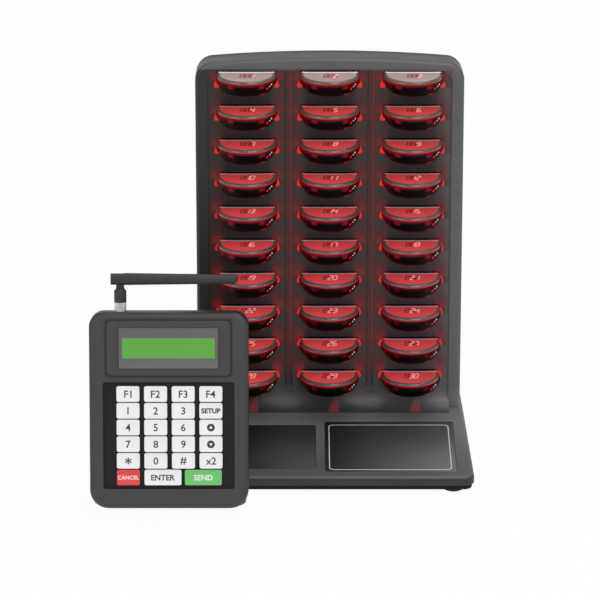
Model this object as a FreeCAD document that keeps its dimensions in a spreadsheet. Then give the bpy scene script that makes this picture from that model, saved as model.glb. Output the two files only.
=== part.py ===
import FreeCAD, Part
import math
import os
from types import SimpleNamespace

import Sketcher
from FreeCAD import Placement, Rotation, Vector

# Guest pager system: a charging rack that leans back over a low base and holds thirty round pagers,
# and the keypad transmitter with a folding antenna that stands in front of it.
# X runs to the right, Y to the rear and Z up. The origin lies on the counter, in the middle of the
# floor area that the whole set covers. Lengths are in millimetres and angles in degrees.

# Driving dimensions: name, value, meaning
SIZES = (
    ("panel_margin", 20.5, "panel beside the outer slots"),
    ("panel_length", 361, "rack panel, from the base top to its crown, along the lean"),
    ("panel_lean", 9, "lean of the panel back from upright"),
    ("crown_rise", 6, "rise of the arched top edge over its ends"),
    ("panel_corner", 18, "top corner radius of the panel"),
    ("panel_roll", 4, "rounding of the panel's front edge"),
    ("tower_depth", 30, "front shell, front to back"),
    ("block_depth", 22, "depth of the moulded slot block behind the panel"),
    ("shell_wall", 3, "wall of the rack's shells"),
    ("void_wall", 4.1, "wall between a slot and the lightening hollow beside it"),
    ("void_inset", 1, "outer lightening hollows, in from half a column beyond the slots"),
    ("rim_width", 12, "flat rim round the sunk field"),
    ("field_corner", 8, "corner radius of the sunk field"),
    ("field_depth", 1.8, "depth of the sunk field"),
    ("divider_width", 6.5, "grooves between the columns"),
    ("divider_depth", 1.2, "depth of those grooves below the field"),
    ("divider_corner", 2.6, "corner radius of those grooves' ends"),
    ("tower_sink", 9, "tower's raw lower end below the base top, before it is cut to it"),
    ("weld", 1, "overlap of shapes that make one moulding"),
    ("cover_depth", 18, "rear cover, front to back"),
    ("cover_roll", 7, "rounding of the cover's rear edge"),
    ("inlet_radius", 5, "round well of each power inlet"),
    ("inlet_depth", 2, "depth of that well"),
    ("inlet_rise", 24, "height of the rack's inlet over the base top"),
    ("base_length", 143, "base in front of the panel"),
    ("base_rear", 66, "base behind the panel's foot"),
    ("base_front_margin", 8.3, "base beyond the panel at its front edge, each side"),
    ("base_rear_margin", 1.1, "base beyond the panel at its rear edge, each side"),
    ("base_corner", 10, "corner radius of the base"),
    ("base_roll", 4, "rounding of the base's upper edge"),
    ("base_lip", 9, "height of the base shell's front face"),
    ("base_slope", 6, "rise of the base top from its front edge to the panel"),
    ("base_wall", 6.5, "side walls of the base"),
    ("cove_radius", 17, "cove between the base top and the field"),
    ("cove_lip", 0.8, "front edge of the cove, over the base top"),
    ("recess_depth", 1.2, "depth of the two flat recesses in the base top"),
    ("recess_corner", 3, "corner radius of the recesses"),
    ("left_recess_left", -128, "left recess, its left edge"),
    ("left_recess_right", -13.5, "left recess, its right edge"),
    ("left_recess_front", -126, "left recess, its front edge"),
    ("left_recess_rear", -38, "left recess, its rear edge"),
    ("right_recess_left", -4.8, "right recess, its left edge"),
    ("right_recess_right", 125, "right recess, its right edge"),
    ("right_recess_front", -131, "right recess, its front edge"),
    ("right_recess_rear", -31, "right recess, its rear edge"),
    ("plate_height", 5, "base plate, the dark band under the shell"),
    ("plate_inset", 2, "set-back of the base plate from the shell"),
    ("foot_height", 3, "rubber feet"),
    ("foot_radius", 10, "rubber feet of the rack"),
    ("foot_inset", 20, "foot centres, in from the base's edges"),
    ("row_count", 10, "pager rows"),
    ("column_count", 3, "pager columns"),
    ("row_pitch", 34.3, "pager rows along the panel"),
    ("column_gap", 21.2, "panel between two slots of a row"),
    ("top_row", 347.7, "lens of the top row, up the panel"),
    ("slot_slope", 3, "slope of a slot down to the rear"),
    ("slot_gap", 0.35, "clearance round a pager in its slot"),
    ("pager_radius", 30.25, "pager case at its widest"),
    ("pager_foot", 25.5, "pager case at its bottom"),
    ("pager_flat", 25, "centre to the flat contact side"),
    ("pager_reach", 7.5, "pager centre, out from the panel"),
    ("case_height", 13.5, "pager case"),
    ("lens_radius", 29.3, "pager lens"),
    ("lens_height", 3.3, "pager lens"),
    ("seat_gap", 0.2, "gap at a seat between two solids of one node"),
    ("contact_width", 12, "contact block behind a slot"),
    ("contact_height", 4, "contact block behind a slot"),
    ("board_width", 60, "charging board"),
    ("board_thickness", 1.6, "circuit boards"),
    ("fit_gap", 0.3, "clearance of pieces that fit inside others"),
    ("console_offset", 154.7, "transmitter's centre, left of the rack's"),
    ("console_gap", 6, "transmitter's rear foot to the base"),
    ("console_lean", 18, "lean of the keypad face back from upright"),
    ("console_width", 152, "keypad face"),
    ("console_brow", 7.55, "keypad face above the display bezel"),
    ("console_depth", 22, "front case, front to back"),
    ("console_lift", 17, "lower edge of the face over the counter"),
    ("console_foot", 58, "face's lower edge to the rear foot, along the counter"),
    ("console_toe", 30, "face's lower edge to the front of the sole"),
    ("corner_upper", 13.8, "upper corner radius of the keypad face"),
    ("corner_lower", 18.1, "lower corner radius of the keypad face"),
    ("console_roll", 5, "rolled edge of the keypad face"),
    ("face_skin", 4.5, "front wall of the front case"),
    ("side_wall", 2.5, "side walls of the front case"),
    ("bezel_width", 118.4, "raised display bezel"),
    ("bezel_height", 52.7, "raised display bezel"),
    ("bezel_rise", 2, "raised display bezel over the face"),
    ("bezel_corner", 5, "raised display bezel"),
    ("display_gap", 6.4, "face between the keypad and the display bezel"),
    ("window_width", 96, "display window opening"),
    ("window_height", 40, "display window opening"),
    ("window_thickness", 1.6, "display window"),
    ("window_sink", 0.8, "window's face below the bezel's"),
    ("module_width", 92, "character display"),
    ("module_height", 26, "character display"),
    ("well_beside", 12.2, "sunk keypad field beside the keys"),
    ("well_above", 3.75, "sunk keypad field above and below the keys"),
    ("well_depth", 2, "sunk keypad field"),
    ("well_corner", 2.5, "sunk keypad field"),
    ("key_width", 22, "single key"),
    ("key_height", 15, "single key"),
    ("key_wide", 35.4, "ENTER and SEND keys"),
    ("key_corner", 1.9, "corner radius of the keys"),
    ("key_thickness", 2.2, "key cap"),
    ("key_proud", 1.7, "key cap's face over the keypad face"),
    ("key_gap_across", 4.35, "between the keys of a row"),
    ("key_gap_up", 1.12, "between the rows of keys"),
    ("wide_gap", 3.2, "between the ENTER and SEND keys"),
    ("key_shift", 0.7, "middle of the keys, right of the face's middle"),
    ("key_bottom", 30.8, "bottom key row, up the face"),
    ("stem_width", 10, "key stem"),
    ("stem_height", 6, "key stem"),
    ("stem_end", 6.5, "key stem's end below the keypad face"),
    ("key_travel", 1.2, "key travel"),
    ("mainboard_height", 140, "main board of the transmitter"),
    ("mainboard_centre", 92, "main board, up the face"),
    ("rear_inset", 2, "rear case, in from the front case"),
    ("rear_thin", 6, "rear case at its top"),
    ("rear_corner", 16, "corner radius of the rear case"),
    ("rear_roll", 6, "rounding of the rear case's back"),
    ("hollow_width", 106, "hollow of the rear case"),
    ("hollow_low", 15, "hollow's lower end, up the face"),
    ("hollow_high", 9, "hollow's upper end, below the face's top"),
    ("pad_radius", 5, "rubber feet of the transmitter"),
    ("pad_spread", 48, "transmitter's feet, from its middle"),
    ("pad_margin", 1, "rear feet, in from the rear case's back"),
    ("antenna_axis", -46.2, "antenna socket, from the middle of the face"),
    ("nut_radius", 5.7, "ribbed nut"),
    ("nut_height", 8.8, "ribbed nut"),
    ("nut_ribs", 18, "grooves round the nut"),
    ("rib_groove", 0.45, "radius of those grooves"),
    ("nut_flare", 1, "step from the nut to the stub"),
    ("stub_radius", 5.9, "elbow stub"),
    ("stub_height", 17, "stub's cylinder, over the case top"),
    ("neck_height", 20.2, "stub's tapered neck, over the case top"),
    ("neck_radius", 4.4, "neck at its top"),
    ("elbow_height", 31.1, "elbow pin over the case top"),
    ("tongue_width", 7.6, "tongue of the elbow"),
    ("tongue_thickness", 4, "tongue of the elbow"),
    ("pin_radius", 1.4, "elbow pin"),
    ("pin_gap", 0.2, "clearance of the pin in the tongue"),
    ("pin_inset", 0.5, "ends of the pin, in from the whip's surface"),
    ("whip_root", 5.75, "radius of the whip at its elbow end"),
    ("whip_tip", 4.45, "radius of the whip at its tip"),
    ("whip_reach", 112.7, "elbow pin to the whip's tip"),
    ("whip_heel", 9, "elbow pin to the whip's flat end"),
)

# Node names of the keys in the four columns of each full row, from the top row down
KEY_ROWS = (
    ("key_f1", "key_f2", "key_f3", "key_f4"),
    ("key_1", "key_2", "key_3", "key_setup"),
    ("key_4", "key_5", "key_6", "key_up"),
    ("key_7", "key_8", "key_9", "key_down"),
    ("key_star", "key_0", "key_hash", "key_x2"),
)

SHEET = "Sizes"
# Tools that cut right through reach this far beyond what they cut.
PAST = 5.0
NEAR = 0.01


class Size:
    """A length or angle with the sheet expression that gives it."""

    def __init__(self, value, text):
        self.value = float(value)
        self.text = text

    def __add__(self, other):
        other = as_size(other)
        return Size(self.value + other.value, f"({self.text} + {other.text})")

    def __sub__(self, other):
        other = as_size(other)
        return Size(self.value - other.value, f"({self.text} - {other.text})")

    def __mul__(self, other):
        other = as_size(other)
        return Size(self.value * other.value, f"({self.text} * {other.text})")

    def __truediv__(self, other):
        other = as_size(other)
        return Size(self.value / other.value, f"({self.text} / {other.text})")

    def __neg__(self):
        return Size(-self.value, f"(-1 * {self.text})")


def as_size(number):
    """A Size for a plain number, or the Size itself."""
    return number if isinstance(number, Size) else Size(number, repr(float(number)))


def sine(angle):
    return Size(math.sin(math.radians(angle.value)), f"sin({angle.text})")


def cosine(angle):
    return Size(math.cos(math.radians(angle.value)), f"cos({angle.text})")


def tangent(angle):
    return Size(math.tan(math.radians(angle.value)), f"tan({angle.text})")


def root(size):
    return Size(math.sqrt(size.value), f"sqrt({size.text})")


document = FreeCAD.newDocument("guest_pager_system")
bodies = []
subparts = []


def make_sheet():
    """Writes the driving dimensions into the sheet and returns them as Sizes by name."""
    sheet = document.addObject("Spreadsheet::Sheet", SHEET)
    for row, (name, value, meaning) in enumerate(SIZES, start=1):
        sheet.set(f"A{row}", name)
        sheet.set(f"B{row}", str(value))
        sheet.setAlias(f"B{row}", name)
        sheet.set(f"C{row}", meaning)
    document.recompute()
    return SimpleNamespace(**{name: Size(value, f"{SHEET}.{name}") for name, value, _ in SIZES})


def new_body(label, placement, compound=False):
    """A body at its placement in the rack's own frame."""
    body = document.addObject("PartDesign::Body", label)
    body.Label = label
    body.AllowCompound = compound
    body.Placement = placement
    bodies.append(body)
    return body


def origin_part(body, role):
    """The origin plane or axis of a body, by its role."""
    return next(item for item in body.Origin.OriginFeatures if item.Role == role)


def new_sketch(body, plane, lift=None, turn=None):
    """A sketch on an origin plane, raised by lift along its normal and turned about its X axis."""
    sketch = body.newObject("Sketcher::SketchObject", "Sketch")
    sketch.AttachmentSupport = (origin_part(body, plane), [""])
    sketch.MapMode = "FlatFace"
    if turn is not None:
        sketch.AttachmentOffset = Placement(Vector(), Rotation(Vector(1, 0, 0), turn.value))
        sketch.setExpression("AttachmentOffset.Rotation.Angle", turn.text)
    if lift is not None:
        sketch.setExpression("AttachmentOffset.Base.z", lift.text)
    return sketch


def bind(sketch, constraint, size):
    """Adds a constraint and ties it to the sheet."""
    index = sketch.addConstraint(constraint)
    sketch.setExpression(f"Constraints[{index}]", size.text)


def hold_point(sketch, edge, end, x, y):
    """Ties a point of an edge to its place, measured from the sketch's origin."""
    for kind, axis, size in (("DistanceX", -2, x), ("DistanceY", -1, y)):
        if abs(size.value) < NEAR:
            sketch.addConstraint(Sketcher.Constraint("PointOnObject", edge, end, axis))
        else:
            bind(sketch, Sketcher.Constraint(kind, -1, 1, edge, end, size.value), size)


def arc_through(start, end, radius, side):
    """The short arc from start to end with its centre on the left (side 1) or the right (side -1)."""
    chord = end - start
    rise = math.sqrt(max(radius**2 - chord.Length**2 / 4, 0))
    left = Vector(-chord.y, chord.x, 0).normalize()
    centre = (start + end) / 2 + left * (rise * side)
    first, last = (start, end) if side > 0 else (end, start)
    angles = [math.atan2(point.y - centre.y, point.x - centre.x) for point in (first, last)]
    return Part.ArcOfCircle(Part.Circle(centre, Vector(0, 0, 1), radius), *angles)


def trace(sketch, corners):
    """Draws a closed outline through its corners.

    A corner is (x, y), or (x, y, radius, side) where an arc leads on to the next corner."""
    corners = [tuple(as_size(item) for item in corner[:3]) + tuple(corner[3:]) for corner in corners]
    points = [Vector(corner[0].value, corner[1].value, 0) for corner in corners]
    ends = []
    for index, corner in enumerate(corners):
        start, end = points[index], points[(index + 1) % len(points)]
        if len(corner) == 2:
            edge = sketch.addGeometry(Part.LineSegment(start, end))
            ends.append((edge, 1, 2))
            continue
        radius, side = corner[2:]
        edge = sketch.addGeometry(arc_through(start, end, radius.value, side))
        bind(sketch, Sketcher.Constraint("Radius", edge, radius.value), radius)
        ends.append((edge, 1, 2) if side > 0 else (edge, 2, 1))
    for index, (edge, start, end) in enumerate(ends):
        onward, onward_start, _ = ends[(index + 1) % len(ends)]
        sketch.addConstraint(Sketcher.Constraint("Coincident", edge, end, onward, onward_start))
        hold_point(sketch, edge, start, corners[index][0], corners[index][1])


def disc(sketch, x, y, radius):
    """Draws a circle."""
    x, y = as_size(x), as_size(y)
    circle = Part.Circle(Vector(x.value, y.value, 0), Vector(0, 0, 1), radius.value)
    edge = sketch.addGeometry(circle)
    bind(sketch, Sketcher.Constraint("Radius", edge, radius.value), radius)
    hold_point(sketch, edge, 3, x, y)


def rectangle(left, right, bottom, top, lower=None, upper=None):
    """Corners of a rectangle whose lower and upper corners may be rounded."""
    corners = []
    for x, y, along, up, radius in (
        (left, bottom, 1, 1, lower),
        (right, bottom, -1, 1, lower),
        (right, top, -1, -1, upper),
        (left, top, 1, -1, upper),
    ):
        if radius is None:
            corners.append((x, y))
            continue
        beside = (x + radius * along, y)
        above = (x, y + radius * up)
        first, second = (above, beside) if along == up else (beside, above)
        corners += [(*first, radius, 1), second]
    return corners


def centred(width, height, x, y, corner=None):
    """Corners of a rectangle about its middle."""
    x, y = as_size(x), as_size(y)
    return rectangle(x - width / 2, x + width / 2, y - height / 2, y + height / 2, corner, corner)


def pad(body, sketch, length, back=False, both=False):
    """Extrudes a sketch."""
    feature = body.newObject("PartDesign::Pad", "Pad")
    feature.Profile = (sketch, [""])
    feature.setExpression("Length", length.text)
    feature.Reversed = back
    feature.SideType = "Symmetric" if both else "One side"
    return feature


def pocket(body, sketch, length, back=False, both=False):
    """Cuts a sketch into a body, and stops the build if nothing was cut."""
    document.recompute()
    before = body.Shape.Volume
    feature = body.newObject("PartDesign::Pocket", "Pocket")
    feature.Profile = (sketch, [""])
    feature.setExpression("Length", length.text)
    feature.Reversed = back
    feature.SideType = "Symmetric" if both else "One side"
    document.recompute()
    if body.Shape.Volume > before - NEAR:
        raise RuntimeError(f"a pocket of {body.Label} cuts nothing")
    return feature


def round_edges(body, radius, wanted):
    """Rounds the edges of a body for which wanted(edge) holds."""
    document.recompute()
    base = body.Tip
    names = [f"Edge{i}" for i, edge in enumerate(base.Shape.Edges, start=1) if wanted(edge)]
    fillet = body.newObject("PartDesign::Fillet", "Fillet")
    fillet.Base = (base, names)
    fillet.setExpression("Radius", radius.text)


def repeat(body, feature, pitch, count):
    """Repeats a feature upwards along a body's Y axis."""
    pattern = body.newObject("PartDesign::LinearPattern", "Pattern")
    pattern.Originals = [feature]
    pattern.Direction = (origin_part(body, "Y_Axis"), [""])
    pattern.Mode = "Spacing"
    pattern.setExpression("Offset", pitch.text)
    pattern.setExpression("Occurrences", count.text)
    body.Tip = pattern


def group(label, pieces):
    """One node that holds several separate solids."""
    compound = document.addObject("Part::Compound", label)
    compound.Label = label
    compound.Links = pieces
    subparts.append(compound)
    return compound


def span(edge, axis):
    """How far an edge runs along an axis."""
    box = edge.BoundBox
    return {"x": box.XLength, "y": box.YLength, "z": box.ZLength}[axis]


def leaning(x, y, z, lean):
    """A frame whose XY plane is a face that leans back, with Z out of that face."""
    return Placement(Vector(x.value, y.value, z.value), Rotation(Vector(1, 0, 0), 90 - lean.value))


sizes = make_sheet()
ZERO = as_size(0)

# Sizes that follow from others
pager_height = sizes.case_height + sizes.seat_gap + sizes.lens_height
slot_width = (sizes.pager_radius + sizes.slot_gap) * 2
column_pitch = slot_width + sizes.column_gap
panel_width = column_pitch * (sizes.column_count - 1) + slot_width + sizes.panel_margin * 2
base_front_width = panel_width + sizes.base_front_margin * 2
base_rear_width = panel_width + sizes.base_rear_margin * 2
key_column = sizes.key_width + sizes.key_gap_across
key_row = sizes.key_height + sizes.key_gap_up
key_left = sizes.key_shift - key_column * (len(KEY_ROWS[0]) - 1) / 2
enter_centre = key_left + sizes.key_width / 2 + sizes.key_gap_across + sizes.key_wide / 2
send_centre = enter_centre + sizes.key_wide + sizes.wide_gap
well_width = key_column * (len(KEY_ROWS[0]) - 1) + sizes.key_width + sizes.well_beside * 2
well_height = key_row * len(KEY_ROWS) + sizes.key_height + sizes.well_above * 2
well_centre = sizes.key_bottom + key_row * len(KEY_ROWS) / 2
display_centre = well_centre + well_height / 2 + sizes.display_gap + sizes.bezel_height / 2
console_height = display_centre + sizes.bezel_height / 2 + sizes.console_brow

# Heights of the base, from the counter up
plate_bottom = sizes.foot_height
shell_bottom = plate_bottom + sizes.plate_height
lip_top = shell_bottom + sizes.base_lip
base_top = lip_top + sizes.base_slope
top_tilt = Size(
    math.degrees(math.atan2(sizes.base_slope.value, sizes.base_length.value)),
    f"(atan({SHEET}.base_slope / {SHEET}.base_length) / 1 deg)",
)

RACK_FRAME = leaning(ZERO, ZERO, base_top, sizes.panel_lean)
FLOOR_FRAME = Placement()
console_front = -(sizes.base_length + sizes.console_gap + sizes.console_foot)
CONSOLE_FRAME = leaning(-sizes.console_offset, console_front, sizes.console_lift, sizes.console_lean)
CONSOLE_FLOOR = Placement(Vector(-sizes.console_offset.value, console_front.value, 0), Rotation())


# Rack


def panel_outline(half, bottom, top, corner, crown):
    """Outline with an arched top: half width, bottom, crown height, corner and crown radius."""
    reach = crown - corner
    corner_x = half - corner
    drop = root(reach * reach - corner_x * corner_x)
    corner_y = top - crown + drop
    touch_x = corner_x + corner * corner_x / reach
    touch_y = corner_y + corner * drop / reach
    return [
        (-half, bottom),
        (half, bottom),
        (half, corner_y, corner, 1),
        (touch_x, touch_y, crown, 1),
        (-touch_x, touch_y, corner, 1),
        (-half, corner_y),
    ]


half_panel = panel_width / 2
crown_radius = (half_panel * half_panel + sizes.crown_rise * sizes.crown_rise) / (sizes.crown_rise * 2)
bottom_row = sizes.top_row - sizes.row_pitch * (sizes.row_count - 1)
slot_tilt = sizes.panel_lean - sizes.slot_slope
first_column = -(column_pitch * (sizes.column_count - 1) / 2)
columns = [first_column + column_pitch * index for index in range(int(sizes.column_count.value))]
# Middle of a pager's contact side, from the row's line: down the panel and into it
inward = sizes.pager_flat - sizes.pager_reach
contact_drop = cosine(slot_tilt) * (pager_height / 2) - sine(slot_tilt) * inward
contact_sink = cosine(slot_tilt) * inward + sine(slot_tilt) * (pager_height / 2)


def d_shape(radius, flat, centre_y):
    """A disc cut flat on its rear side, with -Y to the front."""
    half = root(radius * radius - flat * flat)
    front = centre_y - radius
    return [
        (-half, centre_y + flat, radius, 1),
        (-radius, centre_y, radius, 1),
        (ZERO, front, radius, 1),
        (radius, centre_y, radius, 1),
        (half, centre_y + flat),
    ]


def mirrored(corners):
    """The same outline in a sketch whose second axis points the other way."""
    turned = []
    for index, corner in enumerate(reversed(corners)):
        before = corners[(len(corners) - index - 2) % len(corners)]
        turned.append((corner[0], -corner[1], *before[2:]))
    return turned


def whole_outline():
    """The panel's outline, down to the end that sinks into the base."""
    top, corner = sizes.panel_length, sizes.panel_corner
    return panel_outline(half_panel, -sizes.tower_sink, top, corner, crown_radius)


def inner_outline(bottom):
    """The panel's outline drawn in by the shell's wall, from a given height up."""
    wall = sizes.shell_wall
    top, corner = sizes.panel_length - wall, sizes.panel_corner - wall
    return panel_outline(half_panel - wall, bottom, top, corner, crown_radius - wall)


def tower_shell():
    """Front moulding of the tower, with its sunk field, dividers, slots and the hollow behind them."""
    body = new_body("tower", RACK_FRAME)
    outline = new_sketch(body, "XY_Plane")
    trace(outline, whole_outline())
    pad(body, outline, sizes.tower_depth, back=True)
    round_edges(
        body,
        sizes.panel_roll,
        lambda edge: abs(edge.BoundBox.ZMax) < NEAR
        and edge.BoundBox.ZLength < NEAR
        and edge.BoundBox.YMax > -sizes.tower_sink.value + NEAR,
    )

    field = new_sketch(body, "XY_Plane")
    inset = sizes.rim_width
    width, top, crown = half_panel - inset, sizes.panel_length - inset, crown_radius - inset
    trace(field, panel_outline(width, -sizes.tower_sink, top, sizes.field_corner, crown))
    pocket(body, field, sizes.field_depth)

    dividers = new_sketch(body, "XY_Plane", lift=-sizes.field_depth)
    groove_length = sizes.top_row - cove_rise()
    groove_middle = cove_rise() + groove_length / 2
    for side in (-1, 1):
        middle = column_pitch / 2 * side
        groove = centred(sizes.divider_width, groove_length, middle, groove_middle, sizes.divider_corner)
        trace(dividers, groove)
    pocket(body, dividers, sizes.divider_depth)

    hollow = new_sketch(body, "XY_Plane", lift=-sizes.tower_depth)
    trace(hollow, inner_outline(sizes.shell_wall))
    pocket(body, hollow, sizes.tower_depth - sizes.block_depth, back=True)

    voids = new_sketch(body, "XY_Plane", lift=-sizes.block_depth)
    half_void = sizes.column_gap / 2 - sizes.void_wall
    lowest = bottom_row - sizes.row_pitch / 2
    inner = column_pitch / 2
    outer = inner * 3 - sizes.void_inset
    for middle in (-outer, -inner, inner, outer):
        trace(voids, rectangle(middle - half_void, middle + half_void, lowest, sizes.top_row))
    skin = sizes.field_depth + sizes.divider_depth + sizes.shell_wall / 2
    pocket(body, voids, sizes.block_depth - skin, back=True)

    slots = new_sketch(body, "XZ_Plane", lift=-(bottom_row + sizes.slot_gap), turn=slot_tilt)
    gap = sizes.slot_gap
    corners = mirrored(d_shape(sizes.pager_radius + gap, sizes.pager_flat + gap, -sizes.pager_reach))
    for x in columns:
        trace(slots, [(corner[0] + x, *corner[1:]) for corner in corners])
    cut = pocket(body, slots, pager_height + gap * 2, back=True)
    repeat(body, cut, sizes.row_pitch, sizes.row_count)

    windows = new_sketch(body, "XY_Plane", lift=-sizes.block_depth)
    width = sizes.contact_width + sizes.fit_gap * 2
    height = sizes.contact_height + sizes.fit_gap * 2
    for x in columns:
        trace(windows, centred(width, height, x, bottom_row - contact_drop))
    cut = pocket(body, windows, sizes.block_depth - contact_sink + sizes.fit_gap, back=True)
    repeat(body, cut, sizes.row_pitch, sizes.row_count)
    cut_level(body, as_size(PAST), -(sizes.tower_depth + PAST))
    return body


def cut_level(body, ahead, behind):
    """Cuts the lower end of a leaning body level, just over the base top."""
    level = new_sketch(body, "YZ_Plane")
    slant = tangent(sizes.panel_lean)
    clear = sizes.seat_gap / cosine(sizes.panel_lean)
    low = -sizes.tower_sink - PAST
    cut_behind, cut_ahead = clear - slant * behind, clear - slant * ahead
    trace(level, [(low, behind), (cut_behind, behind), (cut_ahead, ahead), (low, ahead)])
    pocket(body, level, panel_width + PAST, both=True)


def cove_rise():
    """How far the cove climbs the panel above the base top."""
    return sizes.cove_radius * tangent((as_size(90) - sizes.panel_lean - top_tilt) / 2)


def half_base(y):
    """Half the width of the base at a place along its depth."""
    taper = (base_front_width - base_rear_width) / 2 / (sizes.base_length + sizes.base_rear)
    return base_front_width / 2 - taper * (y + sizes.base_length)


def base_outline(inset):
    """The base from above, drawn in by an inset."""
    front, rear = -(sizes.base_length - inset), sizes.base_rear - inset
    return [
        (-(half_base(front) - inset), front),
        (half_base(front) - inset, front),
        (half_base(rear) - inset, rear),
        (-(half_base(rear) - inset), rear),
    ]


def base_shell():
    """Low front part of the front moulding, hollow below, with two flat recesses in its sloping top."""
    body = new_body("base", FLOOR_FRAME)
    outline = new_sketch(body, "XY_Plane", lift=shell_bottom)
    trace(outline, base_outline(ZERO))
    pad(body, outline, base_top - shell_bottom)

    slope = new_sketch(body, "YZ_Plane")
    past = base_top + PAST
    ahead = -(sizes.base_length + PAST)
    low = lip_top - sizes.base_slope / sizes.base_length * PAST
    trace(slope, [(ahead, low), (ZERO, base_top), (ZERO, past), (ahead, past)])
    pocket(body, slope, base_front_width + PAST, both=True)

    round_edges(
        body,
        sizes.base_corner,
        lambda edge: span(edge, "z") > NEAR and max(span(edge, "x"), span(edge, "y")) < NEAR,
    )
    round_edges(
        body,
        sizes.base_roll,
        lambda edge: edge.CenterOfMass.z > lip_top.value - sizes.base_roll.value / 2
        and max(abs(edge.CenterOfMass.x), abs(edge.CenterOfMass.y)) > PAST,
    )

    hollow = new_sketch(body, "XY_Plane", lift=shell_bottom)
    trace(hollow, base_outline(sizes.base_wall))
    pocket(body, hollow, sizes.base_lip - sizes.shell_wall - sizes.recess_depth, back=True)

    recesses = new_sketch(body, "XY_Plane", lift=base_top, turn=top_tilt)
    corner = sizes.recess_corner
    left = (sizes.left_recess_left, sizes.left_recess_right, sizes.left_recess_front, sizes.left_recess_rear)
    right = (
        sizes.right_recess_left,
        sizes.right_recess_right,
        sizes.right_recess_front,
        sizes.right_recess_rear,
    )
    trace(recesses, rectangle(*left, corner, corner))
    trace(recesses, rectangle(*right, corner, corner))
    pocket(body, recesses, sizes.recess_depth)
    return body


def cove():
    """Concave sweep from the base top up to the sunk field, between the panel's rims."""
    body = new_body("cove", FLOOR_FRAME)
    profile = new_sketch(body, "YZ_Plane")
    lean, radius, run = sizes.panel_lean, sizes.cove_radius, cove_rise()
    # Where the plane of the sunk field meets the underside and the lip's height
    floor = base_top + sizes.seat_gap
    raised = floor + sizes.cove_lip
    foot_y = sizes.field_depth / cosine(lean) + (raised - base_top) * tangent(lean)
    low = (foot_y - run * cosine(top_tilt), raised - run * sine(top_tilt))
    high = (foot_y + run * sine(lean), raised + run * cosine(lean))
    sink = sizes.shell_wall / 2
    trace(
        profile,
        [
            (*high, radius, -1),
            low,
            (low[0], low[1] - sizes.cove_lip),
            (foot_y, floor),
            (foot_y + sink, floor),
            (high[0] + sink, high[1]),
        ],
    )
    pad(body, profile, panel_width - sizes.rim_width * 2 + sizes.weld, both=True)
    return body


def rack_front_shell():
    """The two front mouldings: the tower with its cove, and the base that they stand on."""
    tower = document.addObject("Part::MultiFuse", "tower_moulding")
    tower.Shapes = [tower_shell(), cove()]
    group("rack_front_shell", [tower, base_shell()])


def rear_cover():
    """Back of the tower: a shallow tray that closes the hollow and stands on the base."""
    body = new_body("cover", RACK_FRAME)
    outline = new_sketch(body, "XY_Plane", lift=-sizes.tower_depth)
    trace(outline, whole_outline())
    pad(body, outline, sizes.cover_depth, back=True)
    back = -(sizes.tower_depth + sizes.cover_depth)
    round_edges(
        body,
        sizes.cover_roll,
        lambda edge: abs(edge.BoundBox.ZMin - back.value) < NEAR
        and edge.BoundBox.ZLength < NEAR
        and edge.BoundBox.YMax > -sizes.tower_sink.value + NEAR,
    )
    hollow = new_sketch(body, "XY_Plane", lift=-sizes.tower_depth)
    trace(hollow, inner_outline(sizes.tower_sink))
    pocket(body, hollow, sizes.cover_depth - sizes.shell_wall)

    cut_level(body, -sizes.tower_depth + PAST, back - PAST)

    inlet = new_sketch(body, "XY_Plane", lift=back)
    disc(inlet, column_pitch, sizes.inlet_rise, sizes.inlet_radius)
    pocket(body, inlet, sizes.inlet_depth, back=True)
    return body


def charging_board(label, x):
    """Upright board of one column, with a contact block that looks into each slot."""
    frame = RACK_FRAME.multiply(Placement(Vector(x.value, 0, 0), Rotation()))
    body = new_body(label, frame)
    face = -(sizes.block_depth + sizes.fit_gap)
    outline = new_sketch(body, "XY_Plane", lift=face)
    bottom = bottom_row - sizes.row_pitch / 2
    trace(outline, rectangle(-sizes.board_width / 2, sizes.board_width / 2, bottom, sizes.top_row))
    pad(body, outline, sizes.board_thickness, back=True)
    block = new_sketch(body, "XY_Plane", lift=face)
    trace(block, centred(sizes.contact_width, sizes.contact_height, 0, bottom_row - contact_drop))
    first = pad(body, block, sizes.block_depth + sizes.fit_gap - contact_sink - sizes.slot_gap * 2)
    repeat(body, first, sizes.row_pitch, sizes.row_count)
    return body


def base_plate():
    """Flat plate that closes the base; its edge is the dark band below the shell."""
    body = new_body("plate", FLOOR_FRAME)
    outline = new_sketch(body, "XY_Plane", lift=plate_bottom)
    trace(outline, base_outline(sizes.plate_inset))
    pad(body, outline, sizes.plate_height)
    round_edges(body, sizes.base_corner - sizes.plate_inset, lambda edge: span(edge, "z") > NEAR)
    return body


def rack_feet():
    """Four round rubber feet under the plate's corners."""
    body = new_body("feet", FLOOR_FRAME, compound=True)
    sketch = new_sketch(body, "XY_Plane")
    for y in (-(sizes.base_length - sizes.foot_inset), sizes.base_rear - sizes.foot_inset):
        x = half_base(y) - sizes.foot_inset
        disc(sketch, x, y, sizes.foot_radius)
        disc(sketch, -x, y, sizes.foot_radius)
    pad(body, sketch, sizes.foot_height - sizes.seat_gap)
    return body


def rack_rear_cover():
    """Everything that closes the rack: cover, boards, base plate and feet, as separate solids."""
    boards = [charging_board(f"board_{index}", x) for index, x in enumerate(columns, start=1)]
    group("rack_rear_cover", [rear_cover(), *boards, base_plate(), rack_feet()])


# Pagers


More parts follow.
